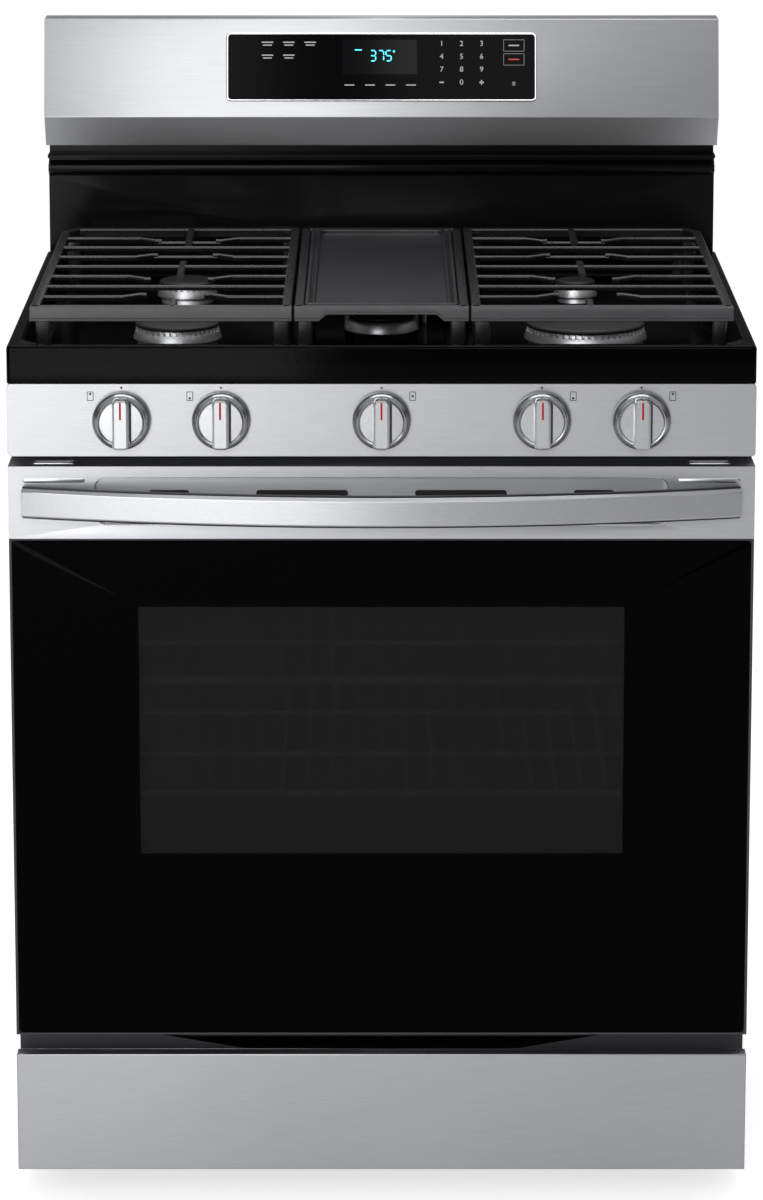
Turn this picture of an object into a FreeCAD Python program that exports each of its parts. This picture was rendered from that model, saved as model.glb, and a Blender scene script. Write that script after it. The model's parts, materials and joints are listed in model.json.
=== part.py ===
import FreeCAD, Part
import os
import re
import Sketcher
from FreeCAD import Placement, Rotation, Vector

# A freestanding gas range: +X to the right, +Y to the rear, +Z up, in millimetres.
# The origin is on the floor, at the middle of the outer box.

doc = FreeCAD.newDocument("gas_range")

# ---- driving dimensions ----

driving = [
    ("width", 757, "overall width of body, door and drawer"),
    ("front", -294, "Y of the door's front plane"),
    ("depth", 650, "door's front plane to the rear panel's back"),
    ("height", 1177, "floor to the top of the backguard"),
    ("sheet", 1.2, "steel sheet thickness"),
    ("frame_depth", 49, "door's front plane to the front frame"),
    ("foot_top", 30, "top of the leveling feet"),
    ("drawer_low", 41, "bottom edge of the drawer front"),
    ("drawer_high", 167, "top edge of the drawer front"),
    ("backing_high", 178.5, "top of the drawer backing at its ends"),
    ("drawer_half", 345, "half width of the drawer box"),
    ("drawer_back", 590, "depth of the drawer box's rear wall"),
    ("door_low", 188, "bottom edge of the door"),
    ("door_high", 790, "top edge of the door"),
    ("door_thick", 45, "door thickness"),
    ("glass_high", 715, "top edge of the door glass"),
    ("lip", 2.8, "door's side lip thickness"),
    ("window_half", 247.7, "half width of the door window"),
    ("window_low", 383, "bottom of the door window"),
    ("window_high", 644, "top of the door window"),
    ("hinge_z", 196, "height of the door's hinge axis"),
    ("hinge_in", 16, "depth of the door's hinge axis"),
    ("pin_r", 4, "hinge pin radius"),
    ("handle_low", 740.5, "bottom of the handle bar"),
    ("handle_tall", 29.5, "height of the handle bar"),
    ("handle_out", 62, "reach of the handle bar's middle"),
    ("handle_end", 15, "reach of the handle bar's ends"),
    ("handle_half", 364.5, "half length of the handle bar"),
    ("handle_bar", 9, "thickness of the handle bar"),
    ("cavity_half", 298, "half width of the oven cavity"),
    ("cavity_low", 262, "bottom of the oven opening"),
    ("cavity_high", 703, "top of the oven cavity"),
    ("cavity_back", 560, "depth of the oven's rear wall"),
    ("liner_low", 232, "bottom of the oven liner"),
    ("blanket", 24, "insulation thickness"),
    ("rack_first", 298, "height of the lowest rack guide"),
    ("rack_pitch", 61.5, "spacing of the rack guides"),
    ("rack_half", 291, "half width of a rack"),
    ("panel_low", 800.5, "bottom of the knob panel"),
    ("panel_high", 875, "top of the knob panel"),
    ("knob_z", 838, "height of the knobs"),
    ("knob_r", 29.5, "knob skirt radius"),
    ("knob_gap", 5.5, "knob panel to the knob's back"),
    ("knob_inner", 162, "X of the second and fourth knobs"),
    ("knob_outer", 262.5, "X of the first and fifth knobs"),
    ("stem_r", 4, "valve stem radius"),
    ("push_travel", 4, "how far a knob pushes in"),
    ("rim", 914, "height of the cooktop rim"),
    ("well", 885, "height of the cooktop well"),
    ("skirt_low", 875.5, "lower edge of the cooktop's skirt"),
    ("well_half", 361, "half width of the cooktop well"),
    ("well_front", 15, "depth of the well's front edge"),
    ("well_back", 597, "depth of the well's rear edge"),
    ("top_back", 602, "depth of the cooktop's rear edge"),
    ("grate_top", 946, "top of the grates"),
    ("grate_tall", 15, "height of the grate bars"),
    ("grate_front", 45, "depth of the grates' front edge"),
    ("grate_back", 567, "depth of the grates' rear edge"),
    ("grate_split", 90, "X of the gaps between grates"),
    ("grate_half", 358, "half width of the grates together"),
    ("grate_bar", 7, "width of a grate's cross bar"),
    ("bar_tall", 5.5, "height of a grate's cross bar"),
    ("rail_tall", 9, "height of a side grate's side and rear bars"),
    ("burner_x", 213, "X of the side burners"),
    ("burner_front", 175, "depth of the front burners"),
    ("burner_rear", 436, "depth of the rear burners"),
    ("burner_mid", 300, "depth of the middle burner"),
    ("tube_r", 6, "burner tube radius"),
    ("inlet_r", 10.67, "gas inlet pipe radius, half inch pipe"),
    ("guard_face", 622, "depth of the backguard's black panel"),
    ("guard_foot", 602, "depth of the backguard's lower steel edge"),
    ("guard_bend", 580, "depth of the backguard's bend"),
    ("guard_top", 605, "depth of the backguard's top edge"),
    ("guard_low", 1034, "height of the backguard's lower steel edge"),
    ("guard_knee", 1069, "height of the backguard's bend"),
    ("pane_half", 172.5, "half width of the control glass"),
    ("pane_low", 1088, "bottom of the control glass"),
    ("pane_high", 1160, "top of the control glass"),
]

dims = doc.addObject("Spreadsheet::Sheet", "Dims")
for row, (alias, value, note) in enumerate(driving, 1):
    dims.set("A%d" % row, note)
    dims.set("B%d" % row, str(value))
    dims.setAlias("B%d" % row, alias)
doc.recompute()

aliasWords = re.compile(r"\b(" + "|".join(alias for alias, value, note in driving) + r")\b")
nodes = []


# ---- helpers ----

def named(formula):
    # writes every alias in a formula as a reference to the sheet
    return aliasWords.sub(r"Dims.\1", str(formula))


def bind(thing, path, formula):
    thing.setExpression(path, named(formula))


def size(formula):
    # the number that a formula gives now, for a sketch's first guess and for loops
    return float(dims.evalExpression(named(formula)))


def place(thing, x, y, z):
    bind(thing, "Placement.Base.x", x)
    bind(thing, "Placement.Base.y", y)
    bind(thing, "Placement.Base.z", z)
    return thing


def block(name, xs, ys, zs):
    # a box from a low and a high formula along each axis; depths count from the door's front plane
    thing = doc.addObject("Part::Box", name)
    bind(thing, "Length", "(%s) - (%s)" % (xs[1], xs[0]))
    bind(thing, "Width", "(%s) - (%s)" % (ys[1], ys[0]))
    bind(thing, "Height", "(%s) - (%s)" % (zs[1], zs[0]))
    return place(thing, xs[0], "front + (%s)" % ys[0], zs[0])


def wide(name, half, ys, zs):
    # a box that is symmetric about the middle plane
    return block(name, ("-(%s)" % half, half), ys, zs)


def rod(name, start, direction, radius, length):
    # a cylinder from its start point along a direction
    thing = doc.addObject("Part::Cylinder", name)
    thing.Placement = Placement(Vector(), Rotation(Vector(0, 0, 1), Vector(*direction)))
    bind(thing, "Radius", radius)
    bind(thing, "Height", length)
    return place(thing, start[0], "front + (%s)" % start[1], start[2])


def join(name, pieces):
    thing = doc.addObject("Part::MultiFuse", name)
    thing.Shapes = list(pieces)
    return thing


def group(name, pieces):
    thing = doc.addObject("Part::Compound", name)
    thing.Links = list(pieces)
    return thing


def cut(name, base, tools):
    thing = doc.addObject("Part::Cut", name)
    thing.Base = base
    thing.Tool = tools[0] if len(tools) == 1 else join(name + "_tools", tools)
    return thing


def mirrored(name, source):
    thing = doc.addObject("Part::Mirroring", name)
    thing.Source = source
    thing.Normal = Vector(1, 0, 0)
    return thing


def pair(name, source):
    # a piece and its mirror image, as one node of two solids
    return group(name, [source, mirrored(name + "_other", source)])


def node(label, thing):
    thing.Label = label
    nodes.append(thing)
    return thing


def outline(body, role, points):
    # a closed sketch on one of the body's own planes, each corner bound to its two formulas
    sketch = body.newObject("Sketcher::SketchObject", body.Name + "_outline")
    plane = [item for item in body.Origin.OriginFeatures if item.Role == role][0]
    sketch.AttachmentSupport = [(plane, "")]
    sketch.MapMode = "FlatFace"
    spots = [Vector(size(across), size(up), 0) for across, up in points]
    for index, spot in enumerate(spots):
        sketch.addGeometry(Part.LineSegment(spot, spots[(index + 1) % len(spots)]))
    for index in range(len(spots)):
        sketch.addConstraint(Sketcher.Constraint("Coincident", index, 2, (index + 1) % len(spots), 1))
    for index, (across, up) in enumerate(points):
        spot = spots[index]
        for kind, value, formula in (("DistanceX", spot.x, across), ("DistanceY", spot.y, up)):
            number = sketch.addConstraint(Sketcher.Constraint(kind, -1, 1, index, 1, value))
            bind(sketch, "Constraints[%d]" % number, formula)
    return sketch


def plate(name, role, points, thick, middle=False):
    # an outline pushed out along its plane's normal, or to both sides of it
    body = doc.addObject("PartDesign::Body", name)
    sketch = outline(body, role, points)
    pad = body.newObject("PartDesign::Pad", name + "_pad")
    pad.Profile = sketch
    pad.Midplane = middle
    bind(pad, "Length", thick)
    return body


def section(name, points, length):
    # a profile across the range, given as depth and height, pushed out to both sides
    body = plate(name, "YZ_Plane", points, length, True)
    bind(body, "Placement.Base.y", "front")
    return body


def turned(name, role, axis, points):
    # an outline spun once round its sketch's own axis
    body = doc.addObject("PartDesign::Body", name)
    sketch = outline(body, role, points)
    spin = body.newObject("PartDesign::Revolution", name + "_spin")
    spin.Profile = sketch
    spin.ReferenceAxis = (sketch, [axis])
    spin.Angle = 360
    return body


def soft(name, xs, ys, zs, axis, radius):
    # a box whose four edges along one axis are rounded
    box = block(name + "_box", xs, ys, zs)
    doc.recompute()
    along = Vector(*axis)
    thing = doc.addObject("Part::Fillet", name)
    thing.Base = box
    edges = enumerate(box.Shape.Edges, 1)
    thing.Edges = [(number, radius, radius) for number, edge in edges
                   if abs(edge.tangentAt(edge.FirstParameter).dot(along)) > 0.9]
    return thing


def pipe(name, corners, radius):
    # straight runs along the axes between corner points, with a ball at each inner corner
    pieces = []
    for index in range(len(corners) - 1):
        here = corners[index]
        there = corners[index + 1]
        step = [size("(%s) - (%s)" % (b, a)) for a, b in zip(here, there)]
        along = max(range(3), key=lambda k: abs(step[k]))
        direction = [0, 0, 0]
        direction[along] = 1 if step[along] > 0 else -1
        length = "abs((%s) - (%s))" % (there[along], here[along])
        pieces.append(rod("%s_run%d" % (name, index), here, direction, radius, length))
        if index:
            ball = doc.addObject("Part::Sphere", "%s_bend%d" % (name, index))
            bind(ball, "Radius", radius)
            pieces.append(place(ball, here[0], "front + (%s)" % here[1], here[2]))
    return join(name, pieces)


# ---- chassis ----

def sidePanels():
    # flat side sheet with a flange turned in along its front and rear edges
    half = "width/2"
    rear = "depth - frame_depth - sheet - 2.05"
    points = [
        (half, "0"), (half, rear), (half + " - 16", rear), (half + " - 16", rear + " - sheet"),
        (half + " - sheet", rear + " - sheet"), (half + " - sheet", "0"),
    ]
    right = plate("panel_right", "XY_Plane", points, "skirt_low - 0.1 - foot_top")
    place(right, "0", "front + frame_depth + sheet", "foot_top")
    node("side_panel_right", right)
    node("side_panel_left", mirrored("panel_left", right))


def rearPanel():
    # back sheet with rows of louvre slots, a service gap at its foot and a cord hole
    sheetBack = wide("back_sheet", "width/2 - 1", ("depth - 2", "depth"), ("foot_top + 100", "height - 2"))
    slots = []
    for row in range(6):
        low = "%d" % (760 + 16 * row)
        for side in (-1, 1):
            start = side * 170 - 110
            slots.append(block("slot_%d_%d" % (row, side + 1), (start, start + 220),
                               ("depth - 3", "depth + 1"), (low, low + " + 6")))
    slots.append(rod("cord_hole", (-290, "depth - 3", 210), (0, 1, 0), 11, 5))
    node("rear_panel", cut("rear_panel", sheetBack, slots))


def baseFrame():
    # two long channels, joined at front and rear, with the drawer's rails on their inner faces
    pieces = []
    for side, tag in ((-1, "left"), (1, "right")):
        spans = sorted([side * size("width/2 - 25"), side * size("width/2 - 3")])
        pieces.append(block("channel_" + tag, spans, ("frame_depth + 3", "depth - 4"),
                            ("foot_top", "foot_top + 16")))
        rail = sorted([side * size("drawer_half + 6.5"), side * size("drawer_half + 9")])
        pieces.append(block("rail_" + tag, rail, ("frame_depth + 8", "drawer_back"), (44, 128)))
        shelf = sorted([side * size("drawer_half + 2"), side * size("drawer_half + 7")])
        pieces.append(block("shelf_" + tag, shelf, ("frame_depth + 8", "drawer_back"), (88, 91)))
    pieces.append(wide("cross_front", "width/2 - 20", ("frame_depth + 12", "frame_depth + 40"),
                       ("foot_top", "foot_top + 10")))
    pieces.append(wide("cross_rear", "width/2 - 20", ("depth - 34", "depth - 6"),
                       ("foot_top", "foot_top + 16")))
    node("base_frame", join("base_frame", pieces))


def frontFrame():
    # face sheet with the oven, drawer and valve openings
    face = wide("frame_face", "width/2", ("frame_depth", "frame_depth + sheet"),
                ("foot_top", "skirt_low - 0.1"))
    oven = wide("frame_oven", "cavity_half + 1.2", ("frame_depth - 1", "frame_depth + 3"),
                ("cavity_low", "cavity_high + 1.2"))
    drawer = wide("frame_drawer", "drawer_half + 6", ("frame_depth - 1", "frame_depth + 3"), (46, 170))
    valves = wide("frame_valves", "cavity_half + 20", ("frame_depth - 1", "frame_depth + 3"), (812, 864))
    node("front_frame", cut("front_frame", face, [oven, drawer, valves]))


def ovenLiner():
    # enamelled box, open at the front, with six pairs of rack guides
    outer = wide("liner_outer", "cavity_half + 1.2", ("frame_depth + sheet", "cavity_back + 1.2"),
                 ("liner_low", "cavity_high + 1.2"))
    inner = wide("liner_inner", "cavity_half", ("frame_depth", "cavity_back"),
                 ("liner_low + 1.2", "cavity_high"))
    sill = wide("liner_sill", "cavity_half + 0.5", ("frame_depth + sheet", "frame_depth + 3"),
                ("liner_low + 0.6", "cavity_low"))
    pieces = [cut("liner_shell", outer, [inner]), sill]
    for level in range(6):
        height = "rack_first + %d * rack_pitch" % level
        for side in (-1, 1):
            spans = sorted([side * size("cavity_half - 14"), side * size("cavity_half + 0.5")])
            pieces.append(block("guide_%d_%d" % (level, side + 1), spans,
                                ("frame_depth + 20", "cavity_back - 6"), (height + " - 5", height)))
    node("oven_liner", join("oven_liner", pieces))


def ovenFloor():
    # removable floor with slots along both sides for the heat to rise through
    floor = wide("floor_sheet", "cavity_half - 1", ("frame_depth + 4", "cavity_back - 1"),
                 ("cavity_low + 1", "cavity_low + 3"))
    slots = []
    for side in (-1, 1):
        for step in range(8):
            low = 100 + 52 * step
            spans = sorted([side * 268, side * 278])
            slots.append(block("vent_%d_%d" % (side + 1, step), spans, (low, low + 36),
                               ("cavity_low", "cavity_low + 4")))
    node("oven_floor", cut("oven_floor", floor, slots))


def insulation():
    # blanket round the liner's sides, top, bottom and back
    outer = wide("blanket_outer", "cavity_half + 1.2 + blanket",
                 ("frame_depth + 5", "cavity_back + 1.2 + blanket"),
                 ("liner_low - blanket", "cavity_high + 1.2 + blanket"))
    inner = wide("blanket_inner", "cavity_half + 1.25", ("frame_depth", "cavity_back + 1.25"),
                 ("liner_low - 0.05", "cavity_high + 1.25"))
    node("oven_insulation", cut("oven_insulation", outer, [inner]))


def gasket():
    # woven seal round the oven opening
    outer = wide("seal_outer", "cavity_half + 15", ("door_thick + 0.6", "frame_depth"),
                 ("cavity_low - 12", "cavity_high + 14"))
    inner = wide("seal_inner", "cavity_half + 8", ("door_thick", "frame_depth + 1"),
                 ("cavity_low - 5", "cavity_high + 7"))
    node("door_gasket", cut("door_gasket", outer, [inner]))


def ovenBurners():
    # bake tube under the floor, broil burner under the oven's roof
    low = "liner_low + 15"
    corners = [("-150", "120", low), ("-150", "470", low), ("150", "470", low), ("150", "120", low)]
    node("bake_burner", pipe("bake_burner", corners, "9"))
    high = "cavity_high - 16"
    tube = rod("broil_tube", (0, 110, high), (0, 1, 0), 11, 390)
    wings = wide("broil_wings", 62, ("118", "480"), (high + " - 3", high + " - 1"))
    hangers = wide("broil_hangers", 6, ("200", "206"), (high, "cavity_high - 0.05"))
    node("broil_burner", join("broil_burner", [tube, wings, hangers]))


def ovenLamp():
    # round lens and its collar on the oven's rear wall
    collar = rod("lamp_collar", (200, "cavity_back - 7", 640), (0, 1, 0), 27, 6.9)
    lens = rod("lamp_lens", (200, "cavity_back - 20", 640), (0, 1, 0), 21, 14)
    node("oven_lamp", join("oven_lamp", [lens, collar]))


def feet():
    # four round pads on threaded studs
    pieces = []
    for x in (-1, 1):
        for y in ("frame_depth + 89", "depth - 20"):
            tag = "%d_%d" % (x + 1, len(pieces))
            middle = x * size("width/2 - 40")
            pad = rod("pad_" + tag, (middle, y, 0), (0, 0, 1), 16, 8)
            stud = rod("stud_" + tag, (middle, y, 7), (0, 0, 1), 5, "foot_top - 7")
            pieces.append(join("foot_" + tag, [pad, stud]))
    node("leveling_feet", group("leveling_feet", pieces))


# ---- cooktop ----

def cooktop():
    # pressed pan: a rim all round, a sunken well and an open underside
    outer = wide("pan_outer", "width/2", ("0", "top_back"), ("skirt_low", "rim"))
    bowl = soft("pan_bowl", ("-well_half", "well_half"), ("well_front", "well_back"),
                ("well", "rim + 5"), (0, 0, 1), 34)
    under = wide("pan_under", "width/2 - 1.5", ("1.5", "top_back - 1.5"), ("skirt_low - 1", "rim - 1.5"))
    wall = soft("pan_wall", ("-well_half - 1.5", "well_half + 1.5"),
                ("well_front - 1.5", "well_back + 1.5"), ("well - 1.5", "rim + 5"), (0, 0, 1), 35.5)
    hollow = cut("pan_hollow", under, [wall])
    holes = []
    for index, (x, y, r) in enumerate(burnerPlaces()):
        holes.append(rod("pan_hole%d" % index, (x, y, "well - 5"), (0, 0, 1), 20, 8))
    node("cooktop_pan", cut("cooktop_pan", outer, [bowl, hollow] + holes))


def burnerPlaces():
    # X, depth and head radius of the four round burners and the middle one
    return [("-burner_x", "burner_front", "46"), ("burner_x", "burner_front", "64"),
            ("-burner_x", "burner_rear", "33"), ("burner_x", "burner_rear", "24"),
            ("0", "burner_mid", "34")]


def burners():
    # each burner is a flanged base, a ported head and a loose cap; the middle one is long
    bases = []
    heads = []
    sparks = []
    for index, (x, y, r) in enumerate(burnerPlaces()):
        base = turned("base%d" % index, "XZ_Plane", "V_Axis",
                      [("9", "-12"), ("18", "-12"), ("18", "0.05"), (r + " - 4", "0.05"),
                       (r + " - 6", "6"), ("9", "6")])
        head = turned("head%d" % index, "XZ_Plane", "V_Axis",
                      [("9", "6.05"), (r + " - 8", "6.05"), (r, "10"), (r, "17"), (r + " - 3", "19"),
                       ("9", "19")])
        spark = rod("spark%d" % index, (x, "%s + %s + 3.5" % (y, r), "well"), (0, 0, 1), 2.2, 20)
        for thing in (base, head):
            place(thing, x, "front + " + y, "well")
        bases.append(base)
        heads.append(head)
        sparks.append(spark)
    longHead = soft("long_head", (-39, 39), ("burner_mid - 112", "burner_mid + 112"),
                    ("well + 6.05", "well + 19"), (0, 0, 1), 38.9)
    bore = rod("long_bore", (0, "burner_mid", "well"), (0, 0, 1), 9, 30)
    heads[4] = cut("long_head_open", longHead, [bore])
    sparks[4] = rod("spark_mid", (46, "burner_mid", "well"), (0, 0, 1), 2.2, 20)
    node("burner_bases", group("burner_bases", bases))
    node("burner_heads", group("burner_heads", heads))
    node("spark_electrodes", group("spark_electrodes", sparks))


def burnerCaps():
    # flat discs with a rounded edge and a short skirt that drops into the head
    names = ("cap_front_left", "cap_front_right", "cap_rear_left", "cap_rear_right")
    for name, (x, y, r) in zip(names, burnerPlaces()):
        cap = turned(name, "XZ_Plane", "V_Axis",
                     [("0", "15.4"), ("8.5", "15.4"), ("8.5", "19.3"), (r + " - 3.5", "19.3"),
                      (r + " - 2", "21"),
                      (r + " - 3", "23.5"), (r + " - 7", "24.5"), ("0", "24.5")])
        node(name, place(cap, x, "front + " + y, "well"))
    middle = soft("middle_cap", (-31, 31), ("burner_mid - 108", "burner_mid + 108"),
                  ("well + 19.3", "well + 24.5"), (0, 0, 1), 30.9)
    plug = rod("middle_plug", (0, "burner_mid", "well + 15.4"), (0, 0, 1), 8.5, 6)
    node("cap_middle", join("cap_middle", [middle, plug]))


def gasLines():
    # inlet stub, regulator, riser and manifold, then one valve and one tube for each burner
    inletX = "250"
    stub = rod("inlet_stub", (inletX, "depth - 26", 82), (0, 1, 0), "inlet_r", 25.5)
    body = soft("regulator_body", (222, 278), ("drawer_back + 8", "depth - 24"), (60, 108), (0, 1, 0), 8)
    bonnet = rod("regulator_bonnet", (inletX, "drawer_back + 22", 106), (0, 0, 1), 13, 16)
    node("gas_regulator", join("gas_regulator", [stub, body, bonnet]))
    edge = "cavity_half + blanket + 26"
    corners = [("278", "drawer_back + 22", "84"), (edge, "drawer_back + 22", "84"),
               (edge, "drawer_back + 22", "770"), (edge, "75", "770"), (edge, "75", "knob_z"),
               ("-knob_outer - 20", "75", "knob_z")]
    node("gas_manifold", pipe("gas_manifold", corners, "7"))
    valves = []
    for index, x in enumerate(knobPlaces()):
        body = rod("valve_body%d" % index, (x, 52, "knob_z"), (0, 1, 0), 11, 15.9)
        nose = rod("valve_nose%d" % index, (x, 22, "knob_z"), (0, 1, 0), 8, 31)
        bore = rod("valve_bore%d" % index, (x, 20, "knob_z"), (0, 1, 0), "stem_r + 0.05", 36)
        valves.append(cut("valve%d" % index, join("valve_solid%d" % index, [body, nose]), [bore]))
    node("gas_valves", group("gas_valves", valves))
    tubes = []
    for index, (x, y, r) in enumerate(burnerPlaces()):
        low = "knob_z + %d" % (14 + 3 * (index % 2))
        aside = "(%s) + %d" % (x, 24 if index in (2, 3) else 0)
        corners = [(aside, "90", low), (aside, y, low), (x, y, low), (x, y, "well - 12.05")]
        if index not in (2, 3):
            del corners[1]
        tubes.append(pipe("tube%d" % index, corners, "tube_r"))
    node("burner_tubes", group("burner_tubes", tubes))


def knobPlaces():
    return ["-knob_outer", "-knob_inner", "0", "knob_inner", "knob_outer"]


def knobPanel():
    # steel face of the control row: a shallow tray, open at the back, with a hole for each stem
    outer = soft("panel_outer", ("-width/2", "width/2"), ("0", "frame_depth - 0.05"),
                 ("panel_low", "panel_high"), (0, 1, 0), 4)
    inner = wide("panel_inner", "width/2 - 2", ("2", "frame_depth + 1"),
                 ("panel_low + 2", "panel_high - 2"))
    holes = [rod("panel_hole%d" % index, (x, -1, "knob_z"), (0, 1, 0), 7, 5)
             for index, x in enumerate(knobPlaces())]
    node("knob_panel", cut("knob_panel", outer, [inner] + holes))


def knobs():
    # skirt, disc and grip bar round a blind bore; the stem reaches from the bore into its valve
    for index, x in enumerate(knobPlaces()):
        stem = rod("stem_rod%d" % index, (x, "-knob_gap - 12", "knob_z"), (0, 1, 0), "stem_r",
                   "knob_gap + 12 + 46")
        collar = rod("stem_collar%d" % index, (x, "14", "knob_z"), (0, 1, 0), 6, "3")
        node("valve_stem_%d" % (index + 1), join("stem%d" % index, [stem, collar]))
        skirt = turned("skirt%d" % index, "YZ_Plane", "H_Axis",
                       [("-knob_gap", "stem_r + 0.05"), ("-knob_gap", "knob_r"),
                        ("-knob_gap - 3", "knob_r"), ("-knob_gap - 7", "knob_r - 4"),
                        ("-knob_gap - 7", "knob_r - 8"), ("-knob_gap - 10", "knob_r - 8"),
                        ("-knob_gap - 10", "stem_r + 0.05")])
        place(skirt, x, "front", "knob_z")
        bar = soft("grip%d" % index, (x + " - 9", x + " + 9"), ("-knob_gap - 24", "-knob_gap - 5"),
                   ("knob_z - knob_r + 3.5", "knob_z + knob_r - 3.5"), (0, 1, 0), 5)
        bore = rod("knob_bore%d" % index, (x, "-knob_gap - 13", "knob_z"), (0, 1, 0), "stem_r + 0.05", 16)
        node("knob_%d" % (index + 1), cut("knob%d" % index, join("knob_solid%d" % index, [skirt, bar]),
                                          [bore]))


# ---- backguard ----

def backguard():
    # black lower panel with a ledge, then a bent steel cover, the control glass and its board
    low = section("guard_low_panel", [
        ("guard_face", "rim - 20"), ("guard_face", "997"), ("guard_face - 9", "1003"),
        ("guard_face - 9", "1010"), ("guard_face", "1014"), ("guard_face", "1019"),
        ("guard_foot + 2", "1019"), ("guard_foot + 2", "1023"), ("guard_face + 3", "1023"),
        ("guard_face + 3", "rim - 20")], "width - 3")
    shelf = wide("guard_shelf", "width/2 - 1.5", ("top_back + 0.05", "depth - 2.05"),
                 ("rim - 22", "rim - 20"))
    lip = wide("guard_lip", 106, ("guard_face - 12", "guard_face + 1"), ("rim + 3", "rim + 20"))
    node("backguard_base", join("backguard_base", [low, shelf, lip]))
    outer = section("cover_outer", [
        ("guard_foot", "guard_low"), ("guard_bend", "guard_knee"), ("guard_top", "height"),
        ("depth - 8", "height"), ("depth - 2.05", "height - 6"), ("depth - 2.05", "rim - 15"),
        ("guard_face + 3.5", "rim - 15"), ("guard_face + 3.5", "guard_low")], "width")
    inner = section("cover_inner", [
        ("guard_foot + 2", "guard_low - 1"), ("guard_foot + 2", "guard_low + 1.5"),
        ("guard_bend + 2.2", "guard_knee"), ("guard_top + 1.5", "height - 1.5"),
        ("depth - 2", "height - 1.5"), ("depth - 2", "rim - 16"),
        ("guard_face + 3.4", "rim - 16"), ("guard_face + 3.4", "guard_low - 1")], "width - 3")
    node("backguard_cover", cut("backguard_cover", outer, [inner]))
    # the glass lies on the leaning upper face: the lean is the run over the rise
    lean = "(guard_top - guard_bend) / (height - guard_knee)"
    atLow = "guard_bend + (pane_low - guard_knee) * " + lean
    atHigh = "guard_bend + (pane_high - guard_knee) * " + lean
    glass = section("pane", [(atLow + " - 0.05", "pane_low"), (atLow + " - 2", "pane_low"),
                             (atHigh + " - 2", "pane_high"), (atHigh + " - 0.05", "pane_high")],
                    "2 * pane_half")
    node("control_glass", glass)
    board = section("board", [(atLow + " + 6", "pane_low"), (atHigh + " + 6", "pane_high"),
                              (atHigh + " + 9", "pane_high"), (atLow + " + 9", "pane_low")], "300")
    node("control_board", board)


# ---- grates ----

def crossBar(name, middle, x0, x1, y, drop, stepped):
    # a bar along X that bends aside at its burner, where it is either stepped down or left open
    low = "grate_top - bar_tall"
    if not drop:
        return block(name, (x0, x1), (y + " - grate_bar/2", y + " + grate_bar/2"), (low, "grate_top"))
    rear = [(x0, 0), (middle + " - 54", 0), (middle + " - 34", drop), (middle + " + 34", drop),
            (middle + " + 54", 0), (x1, 0)]
    there = [(x, "%s + %s + grate_bar/2" % (y, shift)) for x, shift in rear]
    back = [(x, "%s + %s - grate_bar/2" % (y, shift)) for x, shift in reversed(rear)]
    bar = plate(name, "XY_Plane", there + back, "bar_tall")
    place(bar, "0", "front", low)
    span = sorted([0, 3 * drop])
    notch = block(name + "_notch", (middle + " - 30", middle + " + 30"),
                  ("%s + %d" % (y, span[0] - 12), "%s + %d" % (y, span[1] + 12)),
                  ("grate_top - 2.5" if stepped else low + " - 1", "grate_top + 1"))
    return cut(name + "_shaped", bar, [notch])


def sideGrate():
    # outer frame with a chamfered rear corner, seven cross bars, three fingers and feet
    outside = [("grate_split + 1", "grate_front"), ("grate_half", "grate_front"),
               ("grate_half", "grate_back - 26"), ("grate_half - 14", "grate_back"),
               ("grate_split + 1", "grate_back")]
    inside = [("grate_split + 12", "grate_front + 12"), ("grate_half - 11", "grate_front + 12"),
              ("grate_half - 11", "grate_back - 30"), ("grate_half - 21", "grate_back - 11"),
              ("grate_split + 12", "grate_back - 11")]
    ring = plate("ring_outer", "XY_Plane", outside, "grate_tall")
    place(ring, "0", "front", "grate_top - grate_tall")
    gap = plate("ring_inner", "XY_Plane", inside, "grate_tall + 2")
    place(gap, "0", "front", "grate_top - grate_tall - 1")
    under = wide("ring_under", "grate_half + 1", ("grate_front + 12", "grate_back + 1"),
                 ("grate_top - grate_tall - 1", "grate_top - rail_tall"))
    pieces = [cut("ring", ring, [gap, under])]
    shifts = (15, 0, -15, 0, 15, 0, -15)
    for index, shift in enumerate(shifts):
        y = "grate_front + 6 + %d * (grate_back - grate_front - 12) / 8" % (index + 1)
        pieces.append(crossBar("cross%d" % index, "burner_x", "grate_split + 8", "grate_half - 8", y,
                               shift, index > 3))
    fingers = [("grate_back - 95", "grate_back - 6"), ("255", "336"),
               ("grate_front + 6", "grate_front + 48")]
    for index, span in enumerate(fingers):
        pieces.append(block("finger%d" % index, ("burner_x - 4", "burner_x + 4"), span,
                            ("grate_top - 8", "grate_top")))
    for x0, x1 in (("grate_split + 3", "grate_split + 21"), ("grate_half - 22", "grate_half - 6")):
        for y0, y1 in (("grate_front + 3", "grate_front + 16"), ("grate_back - 30", "grate_back - 16")):
            pieces.append(block("leg_%d" % len(pieces), (x0, x1), (y0, y1),
                                ("well + 0.3", "grate_top - 6")))
    right = join("grate_right", pieces)
    node("grate_right", right)
    node("grate_left", mirrored("grate_left", right))


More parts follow.
